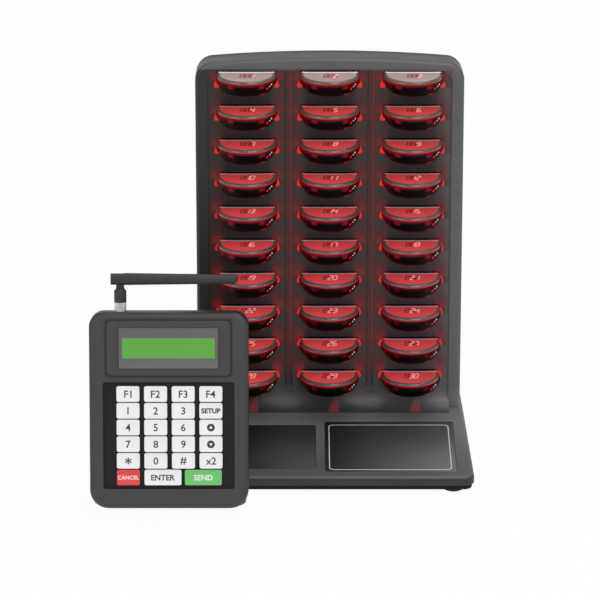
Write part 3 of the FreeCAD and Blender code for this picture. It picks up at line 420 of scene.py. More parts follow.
@dataclass(frozen=True)
class LitPanel(Finish):
    """The tower's plastic, with painted red light from the pagers and painted shade."""

    def dress(self, paint: Paint) -> None:
        """Paints the pagers' red light beside each slot, between the columns and along the grooves, and
        painted shade on the plastic.

        Args:
            paint: The material's graph, shader and colour.
        """
        at = PanelPlace(paint)
        red_spill, edge, line = self.red_spill(at), self.edge(at), self.line(at)
        # Painted red glow round the ends of each slot.
        painted_halo = at.rise * at.beside.step(39.0, 29.5) * at.beside.step(23.0, 28.0) * at.fall.step(0.55, 1.0)
        field = at.inside * at.up.step(26.0, 60.0) * at.aside.step(121.0, 104.0)
        bare = edge.apply("MAXIMUM", line * 0.8).shade(1.0)
        plastic = paint.scaled(paint.color, self.tone(at) * bare * field.shade(0.35))
        # The painted red light also reddens the base colour.
        filtered = (red_spill * 1.5).apply("MINIMUM", 1.0)
        paint.base(paint.layered(plastic, (filtered, (0.012, 0.003, 0.004))))
        paint.glow(
            BLACK,
            (red_spill * at.lip.shade(0.7), (0.046, 0.002, 0.004)),
            (self.wedge(at) * 0.75, (0.13, 0.004, 0.009)),
            (painted_halo, (0.13, 0.005, 0.008)),
            (line * 0.85, (0.19, 0.001, 0.004)),
            (edge, (0.66, 0.006, 0.005)),
        )

    def tone(self, at: PanelPlace) -> Signal:
        """Painted light and shade on the plastic: darker at the left, painted shadow under the pagers,
        painted shade in the grooves and along their lips, a painted highlight on the top rim and lighter on
        the cove.

        Args:
            at: The place on the face.

        Returns:
            A factor for its colour.
        """
        # Painted light: darker at the left, lighter at the right, with a painted highlight on the top rim and
        # lighter on the cove.
        painted_side_light = at.across.step(25.0, 124.0) * 0.72 + (at.across.step(-134.0, -40.0) * 0.58 + 0.17)
        painted_rim_highlight = at.up.step(at.field_top + 0.2, at.field_top + 3.0) * 1.55
        tone = at.up.step(26.0, 10.0) * 0.55 + painted_side_light.apply("MAXIMUM", painted_rim_highlight)
        # Painted shadow under the pagers, deeper towards the top, and painted shade in the grooves and on
        # their lips.
        under = at.rows * at.beside.step(31.0, 21.0) * (at.up.step(60.0, 330.0) * 0.50 + 0.25)
        sunk = at.inside * at.groove.step(3.5, 2.9) * at.up.step(22.0, 26.0)
        return tone * under.shade(1.0) * sunk.shade(0.40) * at.lip.shade(0.88)

    def red_spill(self, at: PanelPlace) -> Signal:
        """The soft painted red light between the columns, strongest towards each slot's level.

        Args:
            at: The place on the face.

        Returns:
            Its amount.
        """
        lit = at.rise.apply("MAXIMUM", at.ledge * 0.9)
        uneven = at.graph.noise(60.0) * 0.5 + 0.75
        return (at.inside * at.beside.step(19.0, 33.0) * (lit * 0.65 + 0.35) * uneven
                * at.aside.step(108.0, 121.0).shade(0.65) * at.up.step(26.0, 50.0))

    def edge(self, at: PanelPlace) -> Signal:
        """Painted red light on the lips at both ends of each slot, which bulges halfway down."""
        widening = at.fall * -12.0 + at.beside
        narrowing = at.fall * 16.0 + at.beside
        return at.ledge * widening.step(31.2, 30.4) * narrowing.step(35.6, 34.8) * at.beside.step(26.5, 28.5)

    def line(self, at: PanelPlace) -> Signal:
        """A thin line of painted red light at the right of each groove."""
        along = (at.across - (HALF_COLUMN + 2.6)).apply("PINGPONG", HALF_COLUMN).step(0.8, 0.4)
        return along * at.inside * at.up.step(24.0, 90.0) * at.aside.step(60.0, 55.0)

    def wedge(self, at: PanelPlace) -> Signal:
        """The slanted patch of light on the cove under each column.

        Args:
            at: The place on the face.

        Returns:
            Its amount.
        """
        foot, size = 21.7, 17.0
        height = (at.graph.split(at.graph.object_place())[2] - foot * MM) * (1 / (size * MM))
        offset = (at.across - 5.0).apply("WRAP", HALF_COLUMN, -HALF_COLUMN)
        slant = height * -11.0 + offset
        return (slant.step(-8.0, -5.0) * offset.step(6.0, 4.6) * height.step(0.95, 0.0)
                * height.step(0.0, 0.06) * at.aside.step(121.0, 118.0))


@dataclass(frozen=True)
class SmokedCase(Finish):
    """Glossy black pager case with lights behind its side and painted glints and reflections, placed by its
    own UV map.

    The map holds the angle from the front, in turns plus a half, and the height, in centimetres."""

    window_angle: float = 31.0
    window_half: float = 2.5
    lights: float = 1.0

    def dress(self, paint: Paint) -> None:
        """Paints the light windows, with painted highlights: the small white glints, the streak of red
        reflection beside them and a red reflection along the bottom edge.

        Args:
            paint: The material's graph, shader and colour.
        """
        turn, height, _ = paint.wrap_place()
        angle = (turn - 0.5) * 360.0
        level = height * 10.0

        def spot(across: Signal, at: float, half: float, low: float, high: float, soft: float) -> Signal:
            """A soft-edged patch on the case's side."""
            inside = abs(across - at).step(half + soft * 3, half)
            return inside * level.step(low - soft, low) * level.step(high + soft, high)

        band = level.step(-5.6, -4.0) * level.step(-3.4, -3.7) * angle.step(15.0, 60.0).shade(0.6)
        windows = spot(abs(angle), self.window_angle, self.window_half, -7.2, -4.6, 2.2)
        # Painted red reflection in flecks beside the windows.
        painted_red_streak = spot(abs(angle), 64.0, 12.0, -12.0, -4.6, 3.0) * paint.noise(420.0).step(0.42, 0.62)
        # Painted white glints.
        painted_glints = spot(angle, 56.0, 0.9, -6.2, -5.2, 0.4) + spot(angle, 51.0, 0.7, -7.6, -6.8, 0.4)
        paint.glow(
            BLACK,
            (painted_red_streak, (0.085, 0.002, 0.003)),
            # Painted red reflection along the bottom edge.
            (spot(angle, 43.0, 7.0, -16.4, -14.8, 0.6) * 0.7, (0.42, 0.008, 0.012)),
            (band * self.lights, (0.13, 0.004, 0.007)),
            (windows * self.lights, (0.17, 0.004, 0.006)),
            (spot(angle, 47.0, 1.1, -10.4, -8.0, 0.6), (1.0, 0.01, 0.03)),
            (painted_glints, (0.85, 0.80, 0.80)),
        )


@dataclass(frozen=True)
class BacklitLens(Finish):
    """Lens lit from below: brighter towards its curved front, placed by its UV map in centimetres."""

    back: Rgb = (0.36, 0.018, 0.020)
    front: Rgb = (0.55, 0.055, 0.058)

    def dress(self, paint: Paint) -> None:
        """Grades the light from the back of the lens to its front.

        Args:
            paint: The material's graph, shader and colour.
        """
        x, y, _ = paint.wrap_place()
        amount = y.step(0.9, -2.4) * 0.75 + abs(x).step(2.6, 0.4) * 0.25
        paint.glow(self.back, (amount, self.front))


@dataclass(frozen=True)
class RecessFloor(Finish):
    """Dark floor of a recess, paler towards the front right, as if under a soft lamp."""

    middle: Corner = (-25.0, -30.0)
    size: Corner = (100.0, 70.0)
    pale: Rgb = (0.150, 0.150, 0.152)

    def dress(self, paint: Paint) -> None:
        """Grades the floor across the recess.

        Args:
            paint: The material's graph, shader and colour.
        """
        ends = [((mid - size / 2) * MM, (mid + size / 2) * MM) for mid, size in zip(self.middle, self.size)]
        x, y, _ = paint.split(paint.object_place())
        amount = x.step(*ends[0]) * (y.step(*reversed(ends[1])) * 0.6 + 0.4)
        paint.base(paint.layered(paint.color, (amount, self.pale)))


@dataclass(frozen=True)
class BaseTop(Finish):
    """The base's plastic, with painted light that makes it a little paler towards the tower."""

    front: float = -74.0
    rear: float = 24.0

    def dress(self, paint: Paint) -> None:
        """Paints light that grades the colour paler from front to rear.

        Args:
            paint: The material's graph, shader and colour.
        """
        _, y, z = paint.split(paint.object_place())
        rise = y.step(self.front * MM, self.rear * MM) * z.step(15 * MM, 18 * MM)
        paint.base(paint.scaled(paint.color, rise * 0.7 + 1.0))


@dataclass(frozen=True)
class CaseFront(Finish):
    """The transmitter's front, with painted shade round the raised display surround and along its outline."""

    surround: Corner = (59.2, 26.4)
    half_width: float = 76.0

    def dress(self, paint: Paint) -> None:
        """Draws the painted shade that lies beside the surround and along the rolled edges.

        Args:
            paint: The material's graph, shader and colour.
        """
        across, up, out = paint.face_place(CONSOLE_FACE)
        aside = abs(across)
        over = abs(up - DISPLAY_MIDDLE) - self.surround[1]
        beyond = (aside - self.surround[0]).apply("SMOOTH_MAX", over, 7.0)
        # Painted shadow beside the raised surround.
        painted_halo = beyond.step(3.6, 0.2) * beyond.step(-1.0, 0.0) * out.step(1.7, 0.4)
        # Painted shade along the rolled edges.
        above = abs(up - CONSOLE_HEIGHT / 2) - CONSOLE_HEIGHT / 2
        outline = (aside - self.half_width).apply("SMOOTH_MAX", above, 14.0).step(-6.0, 0.0)
        paint.base(paint.scaled(paint.color, painted_halo.shade(0.64) * outline.shade(0.3)))


@dataclass(frozen=True)
class CharacterGlass(Finish):
    """Green character display with its faint grid of dots."""

    def dress(self, paint: Paint) -> None:
        """Draws the two lines of twenty cells and the dots in them, from the UV map in cells.

        Args:
            paint: The material's graph, shader and colour.
        """
        marks = []
        for value, dots in zip(paint.wrap_place(), (6.0, 9.0)):
            cell = value.apply("PINGPONG", 0.5).step(0.04, 0.12)
            marks.append(cell * (value * dots).apply("PINGPONG", 0.5).step(0.06, 0.16))
        grid = marks[0] * marks[1] * 0.16
        paint.base(paint.layered(paint.color, (grid, (0.085, 0.33, 0.050))))
        paint.glow((0.036, 0.125, 0.019), (grid, (0.026, 0.100, 0.013)))


class Look(Enum):
    """Every finish of the set: name, colour, roughness, grain size, grain depth and unevenness come first."""

    # TOWER, BASE, COVER and CASE darken their walls with painted shade; BASE has the lowest wall tone, for
    # its front face.
    TOWER = LitPanel("rack_tower_plastic", (0.066, 0.066, 0.067), 0.44, 0.55, 0.012, 0.10,
                     facing=RACK_OUT, wall=0.62)
    BASE = BaseTop("rack_base_plastic", (0.084, 0.084, 0.084), 0.44, 0.55, 0.012, 0.10,
                   facing=UPWARDS, wall=0.17)
    COVER = Finish("rack_cover_plastic", (0.050, 0.050, 0.052), 0.50, 0.60, 0.015, 0.10,
                   facing=RACK_BACK, wall=0.7)
    PLATE = Finish("base_plate_plastic", (0.004, 0.004, 0.005), 0.60, 0.60, 0.015, 0.10, specular=0.2)
    RUBBER = Finish("foot_rubber", (0.012, 0.012, 0.013), 0.80, 0.35, 0.02, 0.15)
    BOARD = Finish("circuit_board", (0.02, 0.09, 0.04), 0.45, 0.8, 0.005, 0.2, coat=0.3)
    LEFT_FLOOR = RecessFloor("left_recess_floor", (0.006, 0.006, 0.007), 0.36, 0.35, 0.006, 0.12,
                             specular=0.12, pale=(0.075, 0.075, 0.077))
    RIGHT_FLOOR = RecessFloor("right_recess_floor", (0.014, 0.014, 0.015), 0.36, 0.35, 0.006, 0.12,
                              specular=0.25, middle=(105.0, -30.0), size=(170.0, 80.0))
    OUTLINE = Finish("printed_outline", (0.62, 0.62, 0.63), 0.45)
    CASE = CaseFront("transmitter_plastic", (0.042, 0.042, 0.042), 0.46, 0.5, 0.012, 0.08, facing=CONSOLE_OUT,
                     wall=0.5)
    CASE_BACK = Finish("transmitter_back_plastic", (0.050, 0.050, 0.051), 0.52, 0.5, 0.015, 0.08)
    WELL = Finish("keypad_well", (0.011, 0.011, 0.015), 0.42, 0.4, 0.006, 0.10, specular=0.25)
    WINDOW = Finish("window_frame", (0.118, 0.112, 0.116), 0.22, 0.3, 0.001, 0.04, coat=0.5)
    DISPLAY = CharacterGlass("character_display", (0.070, 0.245, 0.024), 0.34, 0.3, 0.001, 0.04, coat=0.1)
    KEY_WHITE = Finish("key_white", (0.63, 0.63, 0.63), 0.42, 0.3, 0.004, 0.02)
    KEY_RED = Finish("key_red", (0.58, 0.020, 0.025), 0.40, 0.3, 0.004, 0.05)
    KEY_GREEN = Finish("key_green", (0.135, 0.430, 0.108), 0.40, 0.3, 0.004, 0.05)
    INK_DARK = Finish("legend_dark", (0.030, 0.030, 0.032), 0.5)
    INK_LIGHT = Finish("legend_light", (0.85, 0.85, 0.85), 0.5, 0.3, 0.001, 0.02)
    WHIP = Finish("antenna_sleeve", (0.019, 0.019, 0.020), 0.46, 0.4, 0.012, 0.10)
    NUT = Finish("ribbed_nut", (0.74, 0.74, 0.73), 0.26, 0.2, 0.003, 0.10, metallic=1.0)
    STEEL = Finish("screw_steel", (0.30, 0.30, 0.31), 0.35, 0.2, 0.003, 0.12, metallic=1.0)
    BRASS = Finish("inlet_pin", (0.62, 0.52, 0.30), 0.3, 0.2, 0.003, 0.10, metallic=1.0)
    PAGER = SmokedCase("pager_case", (0.002, 0.002, 0.003), 0.40, 0.3, 0.002, 0.15, specular=0.05)
    PAGER_DIM = SmokedCase("pager_case_lower_rows", (0.002, 0.002, 0.003), 0.40, 0.3, 0.002, 0.15,
                           specular=0.05, lights=0.3)
    PAGER_TOP = Finish("pager_rear_top", (0.010, 0.010, 0.011), 0.35, 0.3, 0.004, 0.12)
    LENS = BacklitLens("pager_lens", (0.18, 0.014, 0.015), 0.20, 0.4, 0.001, 0.12, coat=0.45)
    # Top-row copies with painted highlight: a paler lens and a white, glowing back line.
    LENS_PALE = BacklitLens("pager_lens_top_row", (0.26, 0.20, 0.20), 0.14, 0.4, 0.001, 0.08, coat=0.5,
                            back=(0.17, 0.145, 0.145), front=(0.24, 0.125, 0.13))
    RING = Finish("lens_ring", (0.070, 0.078, 0.072), 0.20, 0.3, 0.001, 0.10, coat=0.6)
    # The back line has a faint painted glow, so it shows in the shade of the pager above.
    RING_LINE = Finish("lens_back_line", (0.20, 0.225, 0.215), 0.25, 0.3, 0.001, 0.06, glow=0.13,
                       glow_color=(0.9, 1.0, 0.95))
    RING_PALE = Finish("lens_back_line_top_row", (0.68, 0.66, 0.66), 0.25, glow=0.35,
                       glow_color=(1.0, 1.0, 1.0))
    BAND = Finish("lens_edge_light", (0.25, 0.01, 0.012), 0.30, 0.3, 0.001, 0.10, glow=0.32, specular=0.2)
    LIT = Finish("digit_lit", (0.60, 0.20, 0.20), 0.4, 0.3, 0.001, 0.02, glow=0.62,
                 glow_color=(1.0, 0.36, 0.34))
    UNLIT = Finish("digit_unlit", (0.110, 0.030, 0.030), 0.4, glow=0.14)


# Shapes, in millimetres until they are placed


def box_of(bm: BMesh) -> tuple[Vector, Vector]:
    """Lowest and highest corner of a mesh."""
    points = [vert.co for vert in bm.verts]
    return tuple(Vector(pick(point[axis] for point in points) for axis in range(3)) for pick in (min, max))


def move(bm: BMesh, x: float, y: float, z: float) -> None:
    """Moves a whole mesh."""
    bmesh.ops.translate(bm, verts=bm.verts, vec=(x, y, z))


def grow(bm: BMesh, faces: Sequence[bmesh.types.BMFace], rise: float, keep: bool) -> None:
    """Lifts a copy of faces along Z and closes the sides.

    Args:
        bm: The mesh.
        faces: The faces that are lifted.
        rise: How far.
        keep: Whether the old faces stay as the other side of a plate.
    """
    grown = bmesh.ops.extrude_face_region(bm, geom=faces, use_keep_orig=keep)
    lifted = [item for item in grown["geom"] if isinstance(item, BMVert)]
    bmesh.ops.translate(bm, verts=lifted, vec=(0, 0, rise))
    if not keep:
        bmesh.ops.delete(bm, geom=[face for face in faces if face.is_valid], context="FACES")


def thicken(bm: BMesh, rise: float) -> None:
    """Turns a flat mesh into closed plates."""
    grow(bm, bm.faces[:], rise, True)
    bmesh.ops.recalc_face_normals(bm, faces=bm.faces)


def spun(profile: Iterable[Corner], steps: int = 72) -> BMesh:
    """Turns a profile about the Z axis.

    Args:
        profile: Radius and height of its corners.
        steps: Facets of a whole turn.

    Returns:
        The turned shape.
    """
    bm = bmesh.new()
    verts = [bm.verts.new((radius, 0.0, height)) for radius, height in profile]
    edges = [bm.edges.new(pair) for pair in zip(verts, verts[1:])]
    bmesh.ops.spin(bm, geom=verts + edges, cent=(0, 0, 0), axis=(0, 0, 1), dvec=(0, 0, 0),
                   angle=2 * pi, steps=steps, use_merge=True)
    bmesh.ops.remove_doubles(bm, verts=bm.verts, dist=1e-4)
    bmesh.ops.recalc_face_normals(bm, faces=bm.faces)
    return bm


def disc(radius: float, low: float, high: float, steps: int) -> BMesh:
    """A flat round plate between two heights."""
    return spun([(0, high), (radius, high), (radius, low), (0, low)], steps)


def slab(width: float, height: float, corner: float, low: float, high: float, edge: float = 0.0,
         steps: int = 5) -> BMesh:
    """A plate with rounded corners and a rounded upper edge.

    Args:
        width: Size along X.
        height: Size along Y.
        corner: Radius of the corners, 0 for none.
        low: Height of the underside.
        high: Height of the upper face.
        edge: Radius of the upper edge.
        steps: Segments of each corner.

    Returns:
        The plate about the origin.
    """
    bm = bmesh.new()
    bmesh.ops.create_grid(bm, x_segments=1, y_segments=1, size=0.5)
    bmesh.ops.transform(bm, verts=bm.verts, matrix=Matrix.Diagonal((width, height, 1, 1)))
    if corner:
        bmesh.ops.bevel(bm, geom=bm.verts[:], offset=corner, affect="VERTICES", segments=steps, profile=0.5,
                        material=-1)
    move(bm, 0, 0, low)
    thicken(bm, high - low)
    if edge:
        rim = [item for item in bm.edges if all(vert.co.z > high - 1e-4 for vert in item.verts)]
        bmesh.ops.bevel(bm, geom=rim, offset=edge, affect="EDGES", segments=3, profile=0.5, material=-1)
    return bm


def cut(bm: BMesh, point: Sequence[float], normal: Sequence[float], keep_all: bool = False) -> None:
    """Cuts a mesh by a plane, and closes it where the outer part is cleared away.

    Args:
        bm: The mesh.
        point: A point of the plane.
        normal: Its normal, towards the outer part.
        keep_all: Whether both parts stay.
    """
    shape = bm.verts[:] + bm.edges[:] + bm.faces[:]
    done = bmesh.ops.bisect_plane(bm, geom=shape, dist=1e-5, plane_co=point, plane_no=normal,
                                  clear_outer=not keep_all)
    if not keep_all:
        bmesh.ops.holes_fill(bm, edges=[item for item in done["geom_cut"] if isinstance(item, BMEdge)])


def paint(bm: BMesh, choose: Choice) -> None:
    """Sets the material of each face from its middle and its normal."""
    for face in bm.faces:
        face.material_index = choose(face.calc_center_median(), face.normal)


def join(parts: Sequence[tuple[BMesh, int]]) -> BMesh:
    """Puts several meshes into one.

    Args:
        parts: The meshes, which are freed, and the material of each.

    Returns:
        The one mesh.
    """
    whole = bmesh.new()
    for part, index in parts:
        for face in part.faces:
            face.material_index = index
        mesh = bpy.data.meshes.new("part")
        part.to_mesh(mesh)
        part.free()
        whole.from_mesh(mesh)
        bpy.data.meshes.remove(mesh)
    return whole


def lettering(text: str, size: float, bold: float = 0.0, spacing: float = 1.0) -> BMesh:
    """Flat letters about the origin, slightly raised.

    Args:
        text: The letters.
        size: Size of the type.
        bold: How much the strokes are thickened.
        spacing: Space between the letters, 1 for the usual.

    Returns:
        The letters.
    """
    curve = bpy.data.curves.new("letters", "FONT")
    curve.body, curve.size, curve.offset, curve.extrude = text, size, bold, 0.03
    curve.align_x, curve.align_y, curve.space_character = "CENTER", "CENTER", spacing
    curve.resolution_u = 3
    holder = bpy.data.objects.new("letters", curve)
    bpy.context.scene.collection.objects.link(holder)
    bpy.context.view_layer.update()
    mesh = bpy.data.meshes.new_from_object(holder.evaluated_get(bpy.context.evaluated_depsgraph_get()))
    bm = bmesh.new()
    bm.from_mesh(mesh)
    bpy.data.objects.remove(holder)
    bpy.data.meshes.remove(mesh)
    bpy.data.curves.remove(curve)
    low, high = box_of(bm)
    move(bm, -(low.x + high.x) / 2, -(low.y + high.y) / 2, 0)
    return bm


def wrap_side(bm: BMesh) -> None:
    """A UV map of the angle round the front, in turns plus a half, and the height in centimetres."""
    layer = bm.loops.layers.uv.new("wrap")
    for face in bm.faces:
        for loop in face.loops:
            x, y, z = loop.vert.co
            loop[layer].uv = (atan2(x, -y) / (2 * pi) + 0.5, z / 10)


def wrap_flat(bm: BMesh, scale: Corner = (0.1, 0.1)) -> None:
    """A flat UV map from above."""
    layer = bm.loops.layers.uv.new("wrap")
    for face in bm.faces:
        for loop in face.loops:
            loop[layer].uv = (loop.vert.co.x * scale[0], loop.vert.co.y * scale[1])


@dataclass
class Piece:
    """What every new piece needs: its name, body, slot name and the nodes that it stands for."""

    name: str
    body: str
    slot: str
    looks: Sequence[Look]
    nodes: Sequence[str] = ()
    crease: float = 32.0

    def make(self, bm: BMesh, place: Matrix) -> Object:
        """Finishes a mesh that was modelled in millimetres, at a frame in metres."""
        bmesh.ops.transform(bm, verts=bm.verts, matrix=place @ Matrix.Scale(MM, 4))
        return self.finish(bm)

    def finish(self, bm: BMesh) -> Object:
        """Turns a mesh that is in place into an object that rides on its body.

        Args:
            bm: The shape in metres, which is freed.

        Returns:
            The finished object.
        """
        mesh = bpy.data.meshes.new(self.name)
        bm.to_mesh(mesh)
        bm.free()
        for look in self.looks:
            mesh.materials.append(look.value.material())
        mesh.shade_smooth()
        mesh.set_sharp_from_angle(angle=radians(self.crease))
        made = bpy.data.objects.new(self.name, mesh)
        bpy.context.scene.collection.objects.link(made)
        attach(made, self.body)
        if self.nodes:
            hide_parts(*self.nodes)
        log.info("%s: %d faces on %s", self.name, len(mesh.polygons), self.body)
        return made

    def skin(self, choose: Choice, edge: float, reshape: Callable[[BMesh], None] | None = None) -> Object:
        """A smooth copy of the piece's CAD node, with its flat faces joined and its edges slightly broken.

        Args:
            choose: Picks the finish from a face's middle and normal, in metres.
            edge: Width of the broken edges in millimetres.
            reshape: Changes the merged copy before it is painted.

        Returns:
            The copy, which replaces the node.
        """
        bm = bmesh.new()
        bm.from_mesh(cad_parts[self.nodes[0]].data)
        bmesh.ops.remove_doubles(bm, verts=bm.verts, dist=2e-6)
        bmesh.ops.dissolve_limit(bm, angle_limit=radians(0.3), use_dissolve_boundaries=False,
                                 verts=bm.verts, edges=bm.edges)
        if reshape:
            reshape(bm)
        bm.normal_update()
        paint(bm, choose)
        made = self.finish(bm)
        bevel = made.modifiers.new("broken_edges", "BEVEL")
        bevel.width, bevel.segments, bevel.limit_method = edge * MM, 2, "ANGLE"
        bevel.angle_limit, bevel.use_clamp_overlap, bevel.harden_normals = radians(38), True, False
        made.modifiers.new("flat_normals", "WEIGHTED_NORMAL").keep_sharp = True
        return made


def without_feet(bm: BMesh) -> None:
    """Takes the plain feet off a copy, because detailed ones take their place."""
    feet = fresh = {vert for vert in bm.verts if vert.co.z < 1 * MM}
    while fresh:
        fresh = {edge.other_vert(vert) for vert in fresh for edge in vert.link_edges} - feet
        feet = feet | fresh
    bmesh.ops.delete(bm, geom=list(feet), context="VERTS")


@dataclass
class RubberFoot:
    """A round rubber foot with a hollow sole."""

    radius: float
    height: float = 3.0

    def add(self, name: str, body: str, slot: str, x: float, y: float) -> Object:
        """Makes one foot on the counter.

        Args:
            name: Name of the piece.
            body: Body that it rides on.
            slot: Its slot name, kept on the piece.
            x: Its place, in metres.
            y: The same along Y.

        Returns:
            The foot.
        """
        r, h = self.radius, self.height
        shape = spun([(0, 0.5), (r * 0.55, 0.5), (r * 0.62, 0.0), (r - 0.7, 0.0), (r - 0.15, 0.35), (r, 0.9),
                      (r, h - 0.4), (r - 0.3, h), (0, h)], 40)
        return Piece(name, body, slot, (Look.RUBBER,)).make(shape, Matrix.Translation((x, y, 0)))


@dataclass
class ScrewHead:
    """A cross-slotted screw head that sits flush in its well."""

    radius: float = 3.1
    bar: Corner = (3.2, 0.7)

    def shape(self) -> BMesh:
        """The head, outwards along Z, with its dark cross.

        Returns:
            The head's mesh.
        """
        r = self.radius
        head = spun([(0, 0.55), (r * 0.6, 0.5), (r * 0.92, 0.3), (r, 0.0), (0, 0.0)], 28)
        cross = [(slab(*size, 0.2, 0.4, 0.62), 1) for size in (self.bar, reversed(self.bar))]
        return join([(head, 0), *cross])

    def add(self, name: str, body: str, slot: str, place: Matrix) -> Object:
        """Makes one screw at a frame whose Z points out of the housing."""
        return Piece(name, body, slot, (Look.STEEL, Look.RUBBER)).make(self.shape(), place)


@dataclass
class PowerInlet:
    """Collar and centre pin in a housing's round inlet well."""

    radius: float = 4.9
    bore: float = 3.1
    depth: float = 2.0

    def add(self, name: str, body: str, slot: str, place: Matrix) -> Object:
        """Makes the inlet.

        Args:
            name: Name of the piece.
            body: Body that it rides on.
            slot: Its slot name, kept on the piece.
            place: Frame whose Z points out of the well's mouth.

        Returns:
            The inlet.
        """
        outer, bore, deep = self.radius, self.bore, -self.depth
        collar = spun([(bore, deep), (bore, -0.2), (bore + 0.4, 0.0), (outer, 0.0), (outer, deep),
                       (bore, deep)], 32)
        floor = disc(bore + 0.1, deep - 0.1, deep + 0.05, 32)
        pin = spun([(0, -0.3), (0.6, -0.4), (0.9, -0.7), (0.9, deep), (0, deep)], 20)
        shape = join([(collar, 0), (floor, 0), (pin, 1)])
        return Piece(name, body, slot, (Look.RUBBER, Look.BRASS)).make(shape, place)


# Sub-assemblies


@dataclass
class Rack:
    """The charging rack without its pagers."""

    body: str = "charging_rack"
    shell: str = "rack_shell"
    cover: str = "rack_cover"
    thickness: float = 48.0
    recess_depth: float = 1.2
    recess_floor: float = 0.35
    feet: Sequence[Rgb] = ((-121, -129.5, 11), (121, -129.5, 11), (-115.3, 46, 10), (115.3, 46, 10))
    web: Sequence[Corner] = ((31.6, -8.6), (31.6, -18.2), (22.2, -18.2), (24.9, -16.4), (27.0, -14.2),
                             (28.7, -11.6), (29.9, -8.6))
    web_front: float = -1.85
    web_depth: float = 2.0
    plate_top: float = 8.05
    boards_behind: float = -29.0
    floors: Sequence[tuple[str, Look, Corner, Corner]] = (
        ("left_recess_floor", Look.LEFT_FLOOR, (-128.0, -13.5), (-126.0, -38.0)),
        ("right_recess_floor", Look.RIGHT_FLOOR, (-4.8, 125.0), (-131.0, -31.0)),
    )
    floor_gap: float = 0.3
    floor_corner: float = 2.8
    outline: Corner = (121.0, 90.5)
    outline_middle: Corner = (59.7, -81.2)
    outline_corner: float = 5.0
    outline_width: float = 0.95
    screws: Sequence[Corner] = ((-118, 40), (118, 40), (-118, 185), (118, 185), (-118, 325), (118, 325))
    inlet: Corner = (-82.4, 24.0)

    def build(self) -> None:
        """Builds every piece of the rack."""
        self.shells()
        self.webs()
        self.recesses()
        self.rear()

    def shells(self) -> None:
        """The two front mouldings, and the cover with the boards, plate and feet."""
        inverse = RACK_FACE.inverted()

        def front(middle: Vector, normal: Vector) -> int:
            """The base's moulding is plain; the tower's takes the pagers' light."""
            return 1 if middle.z < BASE_TOP + 0.05 * MM else 0

        def back(middle: Vector, normal: Vector) -> int:
            """Plate, boards and cover by their place."""
            if middle.z < self.plate_top * MM:
                return 1
            return 2 if (inverse @ middle).z > self.boards_behind * MM else 0

        Piece("rack_front_mouldings", self.body, self.shell, (Look.TOWER, Look.BASE),
              ("rack_front_shell",)).skin(front, 0.35)
        Piece("rack_cover_and_base_plate", self.body, self.cover, (Look.COVER, Look.PLATE, Look.BOARD),
              ("rack_rear_cover",)).skin(back, 0.25, without_feet)
        for number, (x, y, radius) in enumerate(self.feet, start=1):
            RubberFoot(radius).add(f"rack_foot_{number}", self.body, self.cover,
                                   RACK_X + x * MM, RACK_Y + y * MM)

    def webs(self) -> None:
        """Webs in the lower corners of every slot, round the bowl of the pager's case."""
        bm = bmesh.new()
        for number in range(1, COLUMNS * ROWS + 1):
            across, up = slot_mouth(number)
            for side in (-1, 1):
                corners = [(across + side * x, up + y, self.web_front) for x, y in self.web]
                bm.faces.new([bm.verts.new(corner) for corner in corners])
        thicken(bm, -self.web_depth)
        Piece("slot_corner_webs", self.body, self.shell, (Look.TOWER,)).make(bm, RACK_FACE)

    def recesses(self) -> None:
        """Dark floors of the two recesses, and the printed outline in the right one."""
        tilt = Matrix.Rotation(atan2(BASE_FALL, BASE_DEPTH), 4, "X")
        top = Matrix.Translation((RACK_X, RACK_Y, BASE_TOP)) @ tilt
        deep, level = -self.recess_depth, self.recess_floor - self.recess_depth
        for name, look, (left, right), (front, rear) in self.floors:
            shape = slab(right - left - self.floor_gap, rear - front - self.floor_gap, self.floor_corner,
                         deep, level, 0.1)
            place = top @ shift((left + right) / 2, (front + rear) / 2)
            Piece(name, self.body, self.shell, (look,)).make(shape, place)
        line = slab(*self.outline, self.outline_corner, 0.0, 0.12, 0.0, 8)
        bmesh.ops.delete(line, geom=[face for face in line.faces if face.normal.z < 0.9], context="FACES")
        faces = line.faces[:]
        bmesh.ops.inset_region(line, faces=faces, thickness=self.outline_width, use_even_offset=True,
                               use_boundary=True)
        bmesh.ops.delete(line, geom=faces, context="FACES")
        bmesh.ops.solidify(line, geom=line.faces[:], thickness=0.1)
        bmesh.ops.recalc_face_normals(line, faces=line.faces)
        place = top @ shift(*self.outline_middle, level)
        Piece("right_recess_outline", self.body, self.shell, (Look.OUTLINE,)).make(line, place)

    def rear(self) -> None:
        """Screws and the power inlet at the back."""
        back = RACK_FACE @ shift(0, 0, -self.thickness) @ Matrix.Rotation(pi, 4, "Y")
        for number, (x, y) in enumerate(self.screws, start=1):
            ScrewHead().add(f"cover_screw_{number}", self.body, self.cover, back @ shift(x, y, -0.3))
        PowerInlet().add("rack_power_inlet", self.body, self.cover, back @ shift(*self.inlet))


SEGMENTS = {
    "0": "abcdef", "1": "bc", "2": "abged", "3": "abgcd", "4": "fgbc",
    "5": "afgcd", "6": "afgedc", "7": "abc", "8": "abcdefg", "9": "abcdfg", " ": "",
}


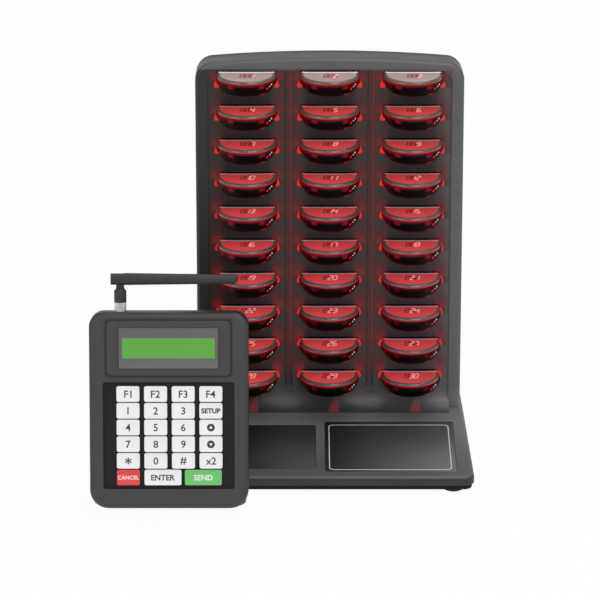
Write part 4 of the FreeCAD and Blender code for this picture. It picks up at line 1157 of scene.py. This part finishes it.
@dataclass
class Pager:
    """One guest pager, from its number: case, lens and three-digit display."""

    number: int
    reach: float = 7.5
    flat: float = 25.0
    ring: float = 26.7
    chord: Corner = (3.9, 6.0)
    slot_light_end: float = 7.4
    slot_light: Corner = (-21.5, 17.5)
    dots: Corner = (2.2, 3.2)
    digit: Corner = (4.2, 11.0)
    digit_pitch: float = 5.6
    stroke: float = 1.6
    slant: Sequence[Sequence[float]] = ((0.86, 0.16, 0, 0.9), (0, 1, 0, -6.6), (0, 0, 1, 0), (0, 0, 0, 1))
    bright_rows: int = 6

    @property
    def place(self) -> Matrix:
        """Frame of the pager: the middle of its lens face, with Y into the slot."""
        mouth = RACK_FACE @ shift(*slot_mouth(self.number)).translation
        turn = Matrix.Rotation(radians(-PAGER_LEAN), 4, "X")
        return Matrix.Translation(mouth) @ turn @ shift(0, -self.reach)

    def build(self) -> None:
        """Builds the pager's three pieces."""
        body, slot = f"pager_{self.number:02d}", "pager_plastic"
        row = (self.number - 1) // COLUMNS
        shell = Look.PAGER if row < self.bright_rows else Look.PAGER_DIM
        # The top row takes the copies with painted highlight on the lens and its back line.
        face, line = (Look.LENS, Look.RING_LINE) if row else (Look.LENS_PALE, Look.RING_PALE)
        Piece(f"{body}_case", body, slot, (shell,), (body,)).make(self.case(), self.place)
        looks = (face, Look.RING, Look.PAGER_TOP, Look.BAND, line)
        Piece(f"{body}_lens", body, slot, looks).make(self.lens(), self.place)
        Piece(f"{body}_digits", body, slot, (Look.LIT, Look.UNLIT)).make(self.digits(), self.place)

    def case(self) -> BMesh:
        """Turned case with a stepped side, cut flat at the contacts.

        Returns:
            The case's mesh.
        """
        bm = spun([
            (0, -17.0), (21.0, -17.0), (22.4, -16.75), (23.9, -15.9), (25.9, -13.8), (27.5, -11.3),
            (28.5, -9.2), (28.3, -8.9), (28.3, -8.6), (29.3, -8.3), (29.8, -7.8), (30.1, -6.9),
            (30.25, -5.8), (30.25, -4.4), (30.1, -3.9), (29.7, -3.55), (29.2, -3.5), (0, -3.5),
        ])
        cut(bm, (0, self.flat, 0), (0, 1, 0))
        wrap_side(bm)
        return bm

    def lens(self) -> BMesh:
        """Lens with its raised ring, lit edge and the straight line along the panel.

        Returns:
            The lens's mesh.
        """
        bm = spun([
            (0, -0.3), (self.ring - 0.3, -0.3), (self.ring, -0.05), (self.ring + 0.3, 0.0), (27.6, -0.1),
            (28.4, -0.5), (29.0, -1.2), (29.25, -2.0), (29.3, -2.3), (29.3, -3.3), (28.6, -3.48), (0, -3.48),
        ])
        cut(bm, (0, self.flat, 0), (0, 1, 0))
        for line in (*self.chord, self.slot_light_end):
            cut(bm, (0, line, 0), (0, 1, 0), keep_all=True)
        for line in (*self.slot_light, *self.dots, *(-dot for dot in self.dots)):
            cut(bm, (line, 0, 0), (1, 0, 0), keep_all=True)

        def choose(middle: Vector, normal: Vector) -> int:
            """Face, ring, rear top, lit edge or back line."""
            if middle.z < -2.25:
                return 3
            if middle.y > self.chord[1]:
                ends = not self.slot_light[0] < middle.x < self.slot_light[1]
                lit = ends or self.dots[0] < abs(middle.x) < self.dots[1]
                return 3 if lit and middle.y < self.slot_light_end and middle.z > -1 else 2
            if middle.y > self.chord[0] and hypot(middle.x, middle.y) < 28.0:
                return 4
            return 0 if hypot(middle.x, middle.y) < self.ring - 0.31 else 1

        paint(bm, choose)
        grow(bm, [face for face in bm.faces if face.material_index == 4], 0.12, False)
        wrap_flat(bm)
        return bm

    def segment(self, x: float, y: float, length: float, upright: bool) -> BMesh:
        """One pointed bar of a digit.

        Args:
            x: Its middle.
            y: The same along Y.
            length: From point to point.
            upright: Whether it stands up.

        Returns:
            The bar.
        """
        bm = bmesh.new()
        bmesh.ops.create_circle(bm, cap_ends=True, segments=6, radius=length / 2)
        bmesh.ops.rotate(bm, verts=bm.verts, matrix=Matrix.Rotation(pi / 2, 3, "Z"))
        for vert in bm.verts:
            if abs(vert.co.x) < length * 0.4:
                vert.co.x = copysign((length - self.stroke) / 2, vert.co.x)
                vert.co.y = copysign(self.stroke / 2, vert.co.y)
        thicken(bm, 0.12)
        if upright:
            bmesh.ops.rotate(bm, verts=bm.verts, matrix=Matrix.Rotation(pi / 2, 3, "Z"))
        move(bm, x, y, -0.3)
        return bm

    def digits(self) -> BMesh:
        """The number, right-aligned, with its dark segments and blank places.

        Returns:
            The bars of all three digits.
        """
        bars = {
            "a": (0, 1, False), "g": (0, 0, False), "d": (0, -1, False),
            "f": (-1, 0.5, True), "b": (1, 0.5, True), "e": (-1, -0.5, True), "c": (1, -0.5, True),
        }
        width, height = self.digit
        parts = []
        for spot, sign in enumerate(f"{self.number:3d}", start=-1):
            for name, (x, y, upright) in bars.items():
                middle = x * width / 2 + spot * self.digit_pitch
                bar = self.segment(middle, y * height / 2, (height / 2 if upright else width) - 0.5, upright)
                parts.append((bar, 0 if name in SEGMENTS[sign] else 1))
        whole = join(parts)
        bmesh.ops.transform(whole, verts=whole.verts, matrix=Matrix(self.slant))
        return whole


class Arrow(Enum):
    """Which way a key's arrow points, as its turn from up."""

    UP = 0.0
    DOWN = pi


@dataclass
class Key:
    """One key of the transmitter: its cap, stem and legend."""

    node: str
    legend: str | Arrow
    x: float
    y: float
    width: float = 22.0
    height: float = 15.0
    look: Look = Look.KEY_WHITE
    slot: str = "key_white"
    size: float = 8.2
    ink: int = 1
    bold: float = 0.0
    spacing: float = 1.0
    top: float = 1.7
    dish: float = 0.14
    stem: Corner = (10.0, 6.0)
    disc: float = 3.75
    arrow: float = 2.0

    def build(self) -> None:
        """Builds the key as one piece."""
        cap = slab(self.width, self.height, 1.9, -0.5, self.top, 0.45)
        face = max(cap.faces, key=lambda item: item.calc_center_median().z * item.calc_area())
        bmesh.ops.inset_region(cap, faces=[face], thickness=0.55, use_even_offset=True)
        bmesh.ops.inset_region(cap, faces=[face], thickness=0.3, depth=-self.dish, use_even_offset=True)
        parts = [(cap, 0), (slab(*self.stem, 0.3, -6.5, -0.45), 0), *self.marks()]
        Piece(self.node + "_cap", self.node, self.slot, (self.look, Look.INK_DARK, Look.INK_LIGHT),
              (self.node,)).make(join(parts), CONSOLE_FACE @ shift(self.x, self.y))

    def marks(self) -> list[tuple[BMesh, int]]:
        """The printed legend, on the sunk face.

        Returns:
            Its meshes and the ink of each.
        """
        level = self.top - self.dish
        if isinstance(self.legend, str):
            letters = lettering(self.legend, self.size, self.bold, self.spacing)
            move(letters, 0, 0, level + 0.02)
            return [(letters, self.ink)]
        arrow = bmesh.new()
        bmesh.ops.create_circle(arrow, cap_ends=True, segments=3, radius=self.arrow)
        bmesh.ops.rotate(arrow, verts=arrow.verts, matrix=Matrix.Rotation(self.legend.value, 3, "Z"))
        thicken(arrow, 0.06)
        move(arrow, 0, 0, level + 0.03)
        return [(disc(self.disc, level - 0.1, level + 0.05, 40), 1), (arrow, 2)]


@dataclass
class Transmitter:
    """The keypad transmitter with its display, keys and antenna."""

    body: str = "transmitter"
    slot: str = "case_grey"
    feet: Sequence[Rgb] = ((-48, 40, 3.5), (48, 40, 3.5), (-48, 52, 5), (48, 52, 5))
    neck: Sequence[Corner] = ((17.0, 20.4), (20.2, 22.0))
    columns: Sequence[float] = (-38.825, -12.475, 13.875, 40.225)
    bottom: float = 30.8
    pitch: float = 16.12
    wide_key: float = 35.4
    wide_columns: Corner = (-5.775, 32.825)
    well: Sequence[Corner] = ((-63.5, 63.5), (19.0, 123.0), (-4.95, -0.1))
    board_behind: float = -12.0
    window_plate: Corner = (95.4, 39.4)
    opening: Corner = (88.4, 19.4)
    module: Corner = (92.0, 26.0)
    screws: Sequence[Corner] = ((-60.0, 30.0), (60.0, 30.0), (-60.0, 160.0), (60.0, 160.0))
    inlet: Corner = (-38.0, 21.2)
    antenna_spot: Rgb = (-46.2, CONSOLE_HEIGHT, -11.0)
    back_lean: float = 8.22
    legends: Sequence[Sequence[tuple[str, str | Arrow]]] = (
        (("key_star", "*"), ("key_0", "0"), ("key_hash", "#"), ("key_x2", "x2")),
        (("key_7", "7"), ("key_8", "8"), ("key_9", "9"), ("key_down", Arrow.DOWN)),
        (("key_4", "4"), ("key_5", "5"), ("key_6", "6"), ("key_up", Arrow.UP)),
        (("key_1", "1"), ("key_2", "2"), ("key_3", "3"), ("key_setup", "SETUP")),
        (("key_f1", "F1"), ("key_f2", "F2"), ("key_f3", "F3"), ("key_f4", "F4")),
    )

    def build(self) -> None:
        """Builds every piece of the transmitter."""
        self.cases()
        self.window()
        self.keys()
        self.antenna()
        self.rear()

    def cases(self) -> None:
        """Front case with its dark keypad well, and the rear case with its feet and board."""
        inverse = CONSOLE_FACE.inverted()

        def front(middle: Vector, normal: Vector) -> int:
            """The well's floor and the sides of the stem holes are dark."""
            inside = (low < value < high for value, (low, high) in zip(inverse @ middle / MM, self.well))
            return 1 if all(inside) else 0

        def back(middle: Vector, normal: Vector) -> int:
            """Board or wedge by its place."""
            return 1 if (inverse @ middle).z > self.board_behind * MM else 0

        Piece("transmitter_front_moulding", self.body, self.slot, (Look.CASE, Look.WELL),
              ("transmitter_front_case",)).skin(front, 0.25)
        Piece("transmitter_rear_moulding", self.body, self.slot, (Look.CASE_BACK, Look.BOARD),
              ("transmitter_rear_case",)).skin(back, 0.25, without_feet)
        for number, (x, y, radius) in enumerate(self.feet, start=1):
            RubberFoot(radius).add(f"transmitter_foot_{number}", self.body, self.slot,
                                   CONSOLE_X + x * MM, CONSOLE_Y + y * MM)

    def window(self) -> None:
        """Grey window plate with the green display behind its opening."""
        plate = slab(*self.window_plate, 0.8, -0.4, 1.2, 0.25)
        opening = slab(*self.opening, 0.3, 1.12, 1.23)
        wrap_flat(opening, (20 / self.opening[0], 2 / self.opening[1]))
        module = slab(*self.module, 0.0, -9.4, -0.6)
        Piece("display_window_plate", self.body, "display", (Look.WINDOW, Look.DISPLAY, Look.BOARD),
              ("display_window",)).make(join([(plate, 0), (opening, 1), (module, 2)]),
                                        CONSOLE_FACE @ shift(0, DISPLAY_MIDDLE))

    def keys(self) -> None:
        """Twenty-three keys."""
        for row, entries in enumerate(self.legends, start=1):
            for (node, legend), x in zip(entries, self.columns):
                size, bold = {"SETUP": (6.5, 0.26), "*": (14.5, 0.22)}.get(legend, (9.9, 0.14))
                Key(node, legend, x, self.bottom + self.pitch * row, size=size, bold=bold).build()
        Key("key_cancel", "CANCEL", self.columns[0], self.bottom, look=Look.KEY_RED, slot="key_red", size=5.1,
            ink=2, bold=0.12, spacing=1.06).build()
        Key("key_enter", "ENTER", self.wide_columns[0], self.bottom, width=self.wide_key, size=7.6,
            bold=0.2).build()
        Key("key_send", "SEND", self.wide_columns[1], self.bottom, width=self.wide_key, look=Look.KEY_GREEN,
            slot="key_green", size=7.4, ink=2, bold=0.16).build()

    def antenna(self) -> None:
        """Nut and elbow stub, and the whip, as smooth copies."""
        socket = CONSOLE_FACE @ shift(*self.antenna_spot)
        inverse = socket.inverted()

        def base(middle: Vector, normal: Vector) -> int:
            """The nut is bare metal up to its step."""
            return 1 if (inverse @ middle).y < 8.85 * MM else 0

        def stub(bm: BMesh) -> None:
            """Draws the stub's cylinder up to just under the elbow, as on the real one."""
            for vert in bm.verts:
                local = inverse @ vert.co / MM
                for old, new in self.neck:
                    if abs(local.y - old) < 0.05 and hypot(local.x, local.z) > 4.3:
                        vert.co = socket @ (Vector((local.x, new, local.z)) * MM)

        slot = "antenna_black"
        Piece("antenna_nut_and_stub", "antenna_base", slot, (Look.WHIP, Look.NUT),
              ("antenna_base",)).skin(base, 0.12, stub)
        Piece("antenna_sleeve", "antenna_whip", slot, (Look.WHIP,),
              ("antenna_whip",)).skin(lambda middle, normal: 0, 0.2)

    def rear(self) -> None:
        """Screws and the power inlet at the back."""
        turn = Matrix.Rotation(radians(90 - self.back_lean), 4, "X") @ Matrix.Rotation(pi, 4, "Y")
        back = Matrix.Translation((CONSOLE_X, CONSOLE_Y, 0)) @ shift(0, 58, 3) @ turn
        for number, (x, y) in enumerate(self.screws, start=1):
            ScrewHead(2.6).add(f"case_screw_{number}", self.body, self.slot, back @ shift(x, y, -0.3))
        PowerInlet().add("transmitter_power_inlet", self.body, self.slot, back @ shift(*self.inlet))


@dataclass
class Studio:
    """Plain floor, soft light and the camera."""

    elevation: float = 24.5
    distance: float = 3.0
    lens: float = 180.0
    aim: Sequence[float] = (44.6, 66.4, 200.0)
    aim_offset: Corner = (29.4, 58.3)
    world_light: float = 0.5
    lit_middle: Sequence[float] = (0.0, 0.0, 0.18)
    lamps: Sequence[tuple[str, Sequence[float], float, float]] = (
        ("key_lamp", (0.9, -1.9, 2.2), 1.6, 26.0),
        ("fill_lamp", (-1.6, -1.5, 1.3), 1.4, 10.0),
        ("top_lamp", (0.5, 0.4, 2.4), 1.6, 18.0),
    )

    def build(self) -> None:
        """Sets up the stage."""
        self.floor()
        self.world()
        self.light()
        self.camera()

    def floor(self) -> None:
        """A wide pale floor that shows almost white and keeps the shadow."""
        bm = bmesh.new()
        bmesh.ops.create_grid(bm, x_segments=1, y_segments=1, size=8.0)
        mesh = bpy.data.meshes.new("studio_floor")
        bm.to_mesh(mesh)
        bm.free()
        made = bpy.data.objects.new("studio_floor", mesh)
        bpy.context.scene.collection.objects.link(made)
        cover = bpy.data.materials.new("studio_floor")
        cover.use_nodes = True
        graph = Graph(cover.node_tree)
        shader = graph.feed(cover.node_tree.nodes["Principled BSDF"], Base_Color=(0.86, 0.86, 0.86, 1.0),
                            Roughness=0.75, Specular_IOR_Level=0.2)
        rays = graph.add("ShaderNodeLightPath").outputs
        seen = Signal(graph.tree, rays["Is Camera Ray"]).apply("MAXIMUM", rays["Is Glossy Ray"])
        mixed = graph.add("ShaderNodeMixShader")
        white = graph.add("ShaderNodeEmission").outputs[0]
        for socket, value in zip(mixed.inputs, (seen * 0.95, shader.outputs[0], white)):
            connect(graph.tree, socket, value)
        graph.feed(cover.node_tree.nodes["Material Output"], Surface=mixed.outputs[0])
        mesh.materials.append(cover)

    def world(self) -> None:
        """White to the camera, softer as a light."""
        world = bpy.data.worlds.new("studio_world")
        bpy.context.scene.world = world
        world.use_nodes = True
        graph = Graph(world.node_tree)
        rays = graph.add("ShaderNodeLightPath").outputs
        seen = Signal(graph.tree, rays["Is Camera Ray"]).apply("MAXIMUM", rays["Is Transmission Ray"])
        graph.feed(world.node_tree.nodes["Background"], Color=(1.0, 1.0, 1.0, 1.0),
                   Strength=seen * (1.0 - self.world_light) + self.world_light)

    def light(self) -> None:
        """Large soft lamps, all aimed at the set."""
        for name, spot, size, power in self.lamps:
            lamp = bpy.data.lights.new(name, "AREA")
            lamp.shape, lamp.size, lamp.energy = "SQUARE", size, power
            holder = bpy.data.objects.new(name, lamp)
            holder.location = spot
            toward = Vector(self.lit_middle) - Vector(spot)
            holder.rotation_euler = toward.to_track_quat("-Z", "Y").to_euler()
            bpy.context.scene.collection.objects.link(holder)

    def camera(self) -> None:
        """A long lens at the photograph's angle."""
        pitch = radians(self.elevation)
        up = Vector((0.0, sin(pitch), cos(pitch)))
        aim = Vector(self.aim) * MM - Vector((self.aim_offset[0] * MM, 0, 0)) - up * self.aim_offset[1] * MM
        camera = bpy.data.cameras.new("camera")
        camera.lens, camera.sensor_width, camera.clip_end = self.lens, 36.0, 50.0
        holder = bpy.data.objects.new("camera", camera)
        holder.location = aim + Vector((0.0, -cos(pitch), sin(pitch))) * self.distance
        holder.rotation_euler = (pi / 2 - pitch, 0.0, 0.0)
        bpy.context.scene.collection.objects.link(holder)
        bpy.context.scene.camera = holder
        bpy.context.scene.view_settings.view_transform = "Standard"


def main() -> None:
    """Builds the set and its studio."""
    logging.basicConfig(level=logging.INFO, format="%(message)s")
    moulded_grain()
    wall_shade()
    Rack().build()
    for number in range(1, COLUMNS * ROWS + 1):
        Pager(number).build()
    Transmitter().build()
    Studio().build()


if __name__ == "__main__":
    main()
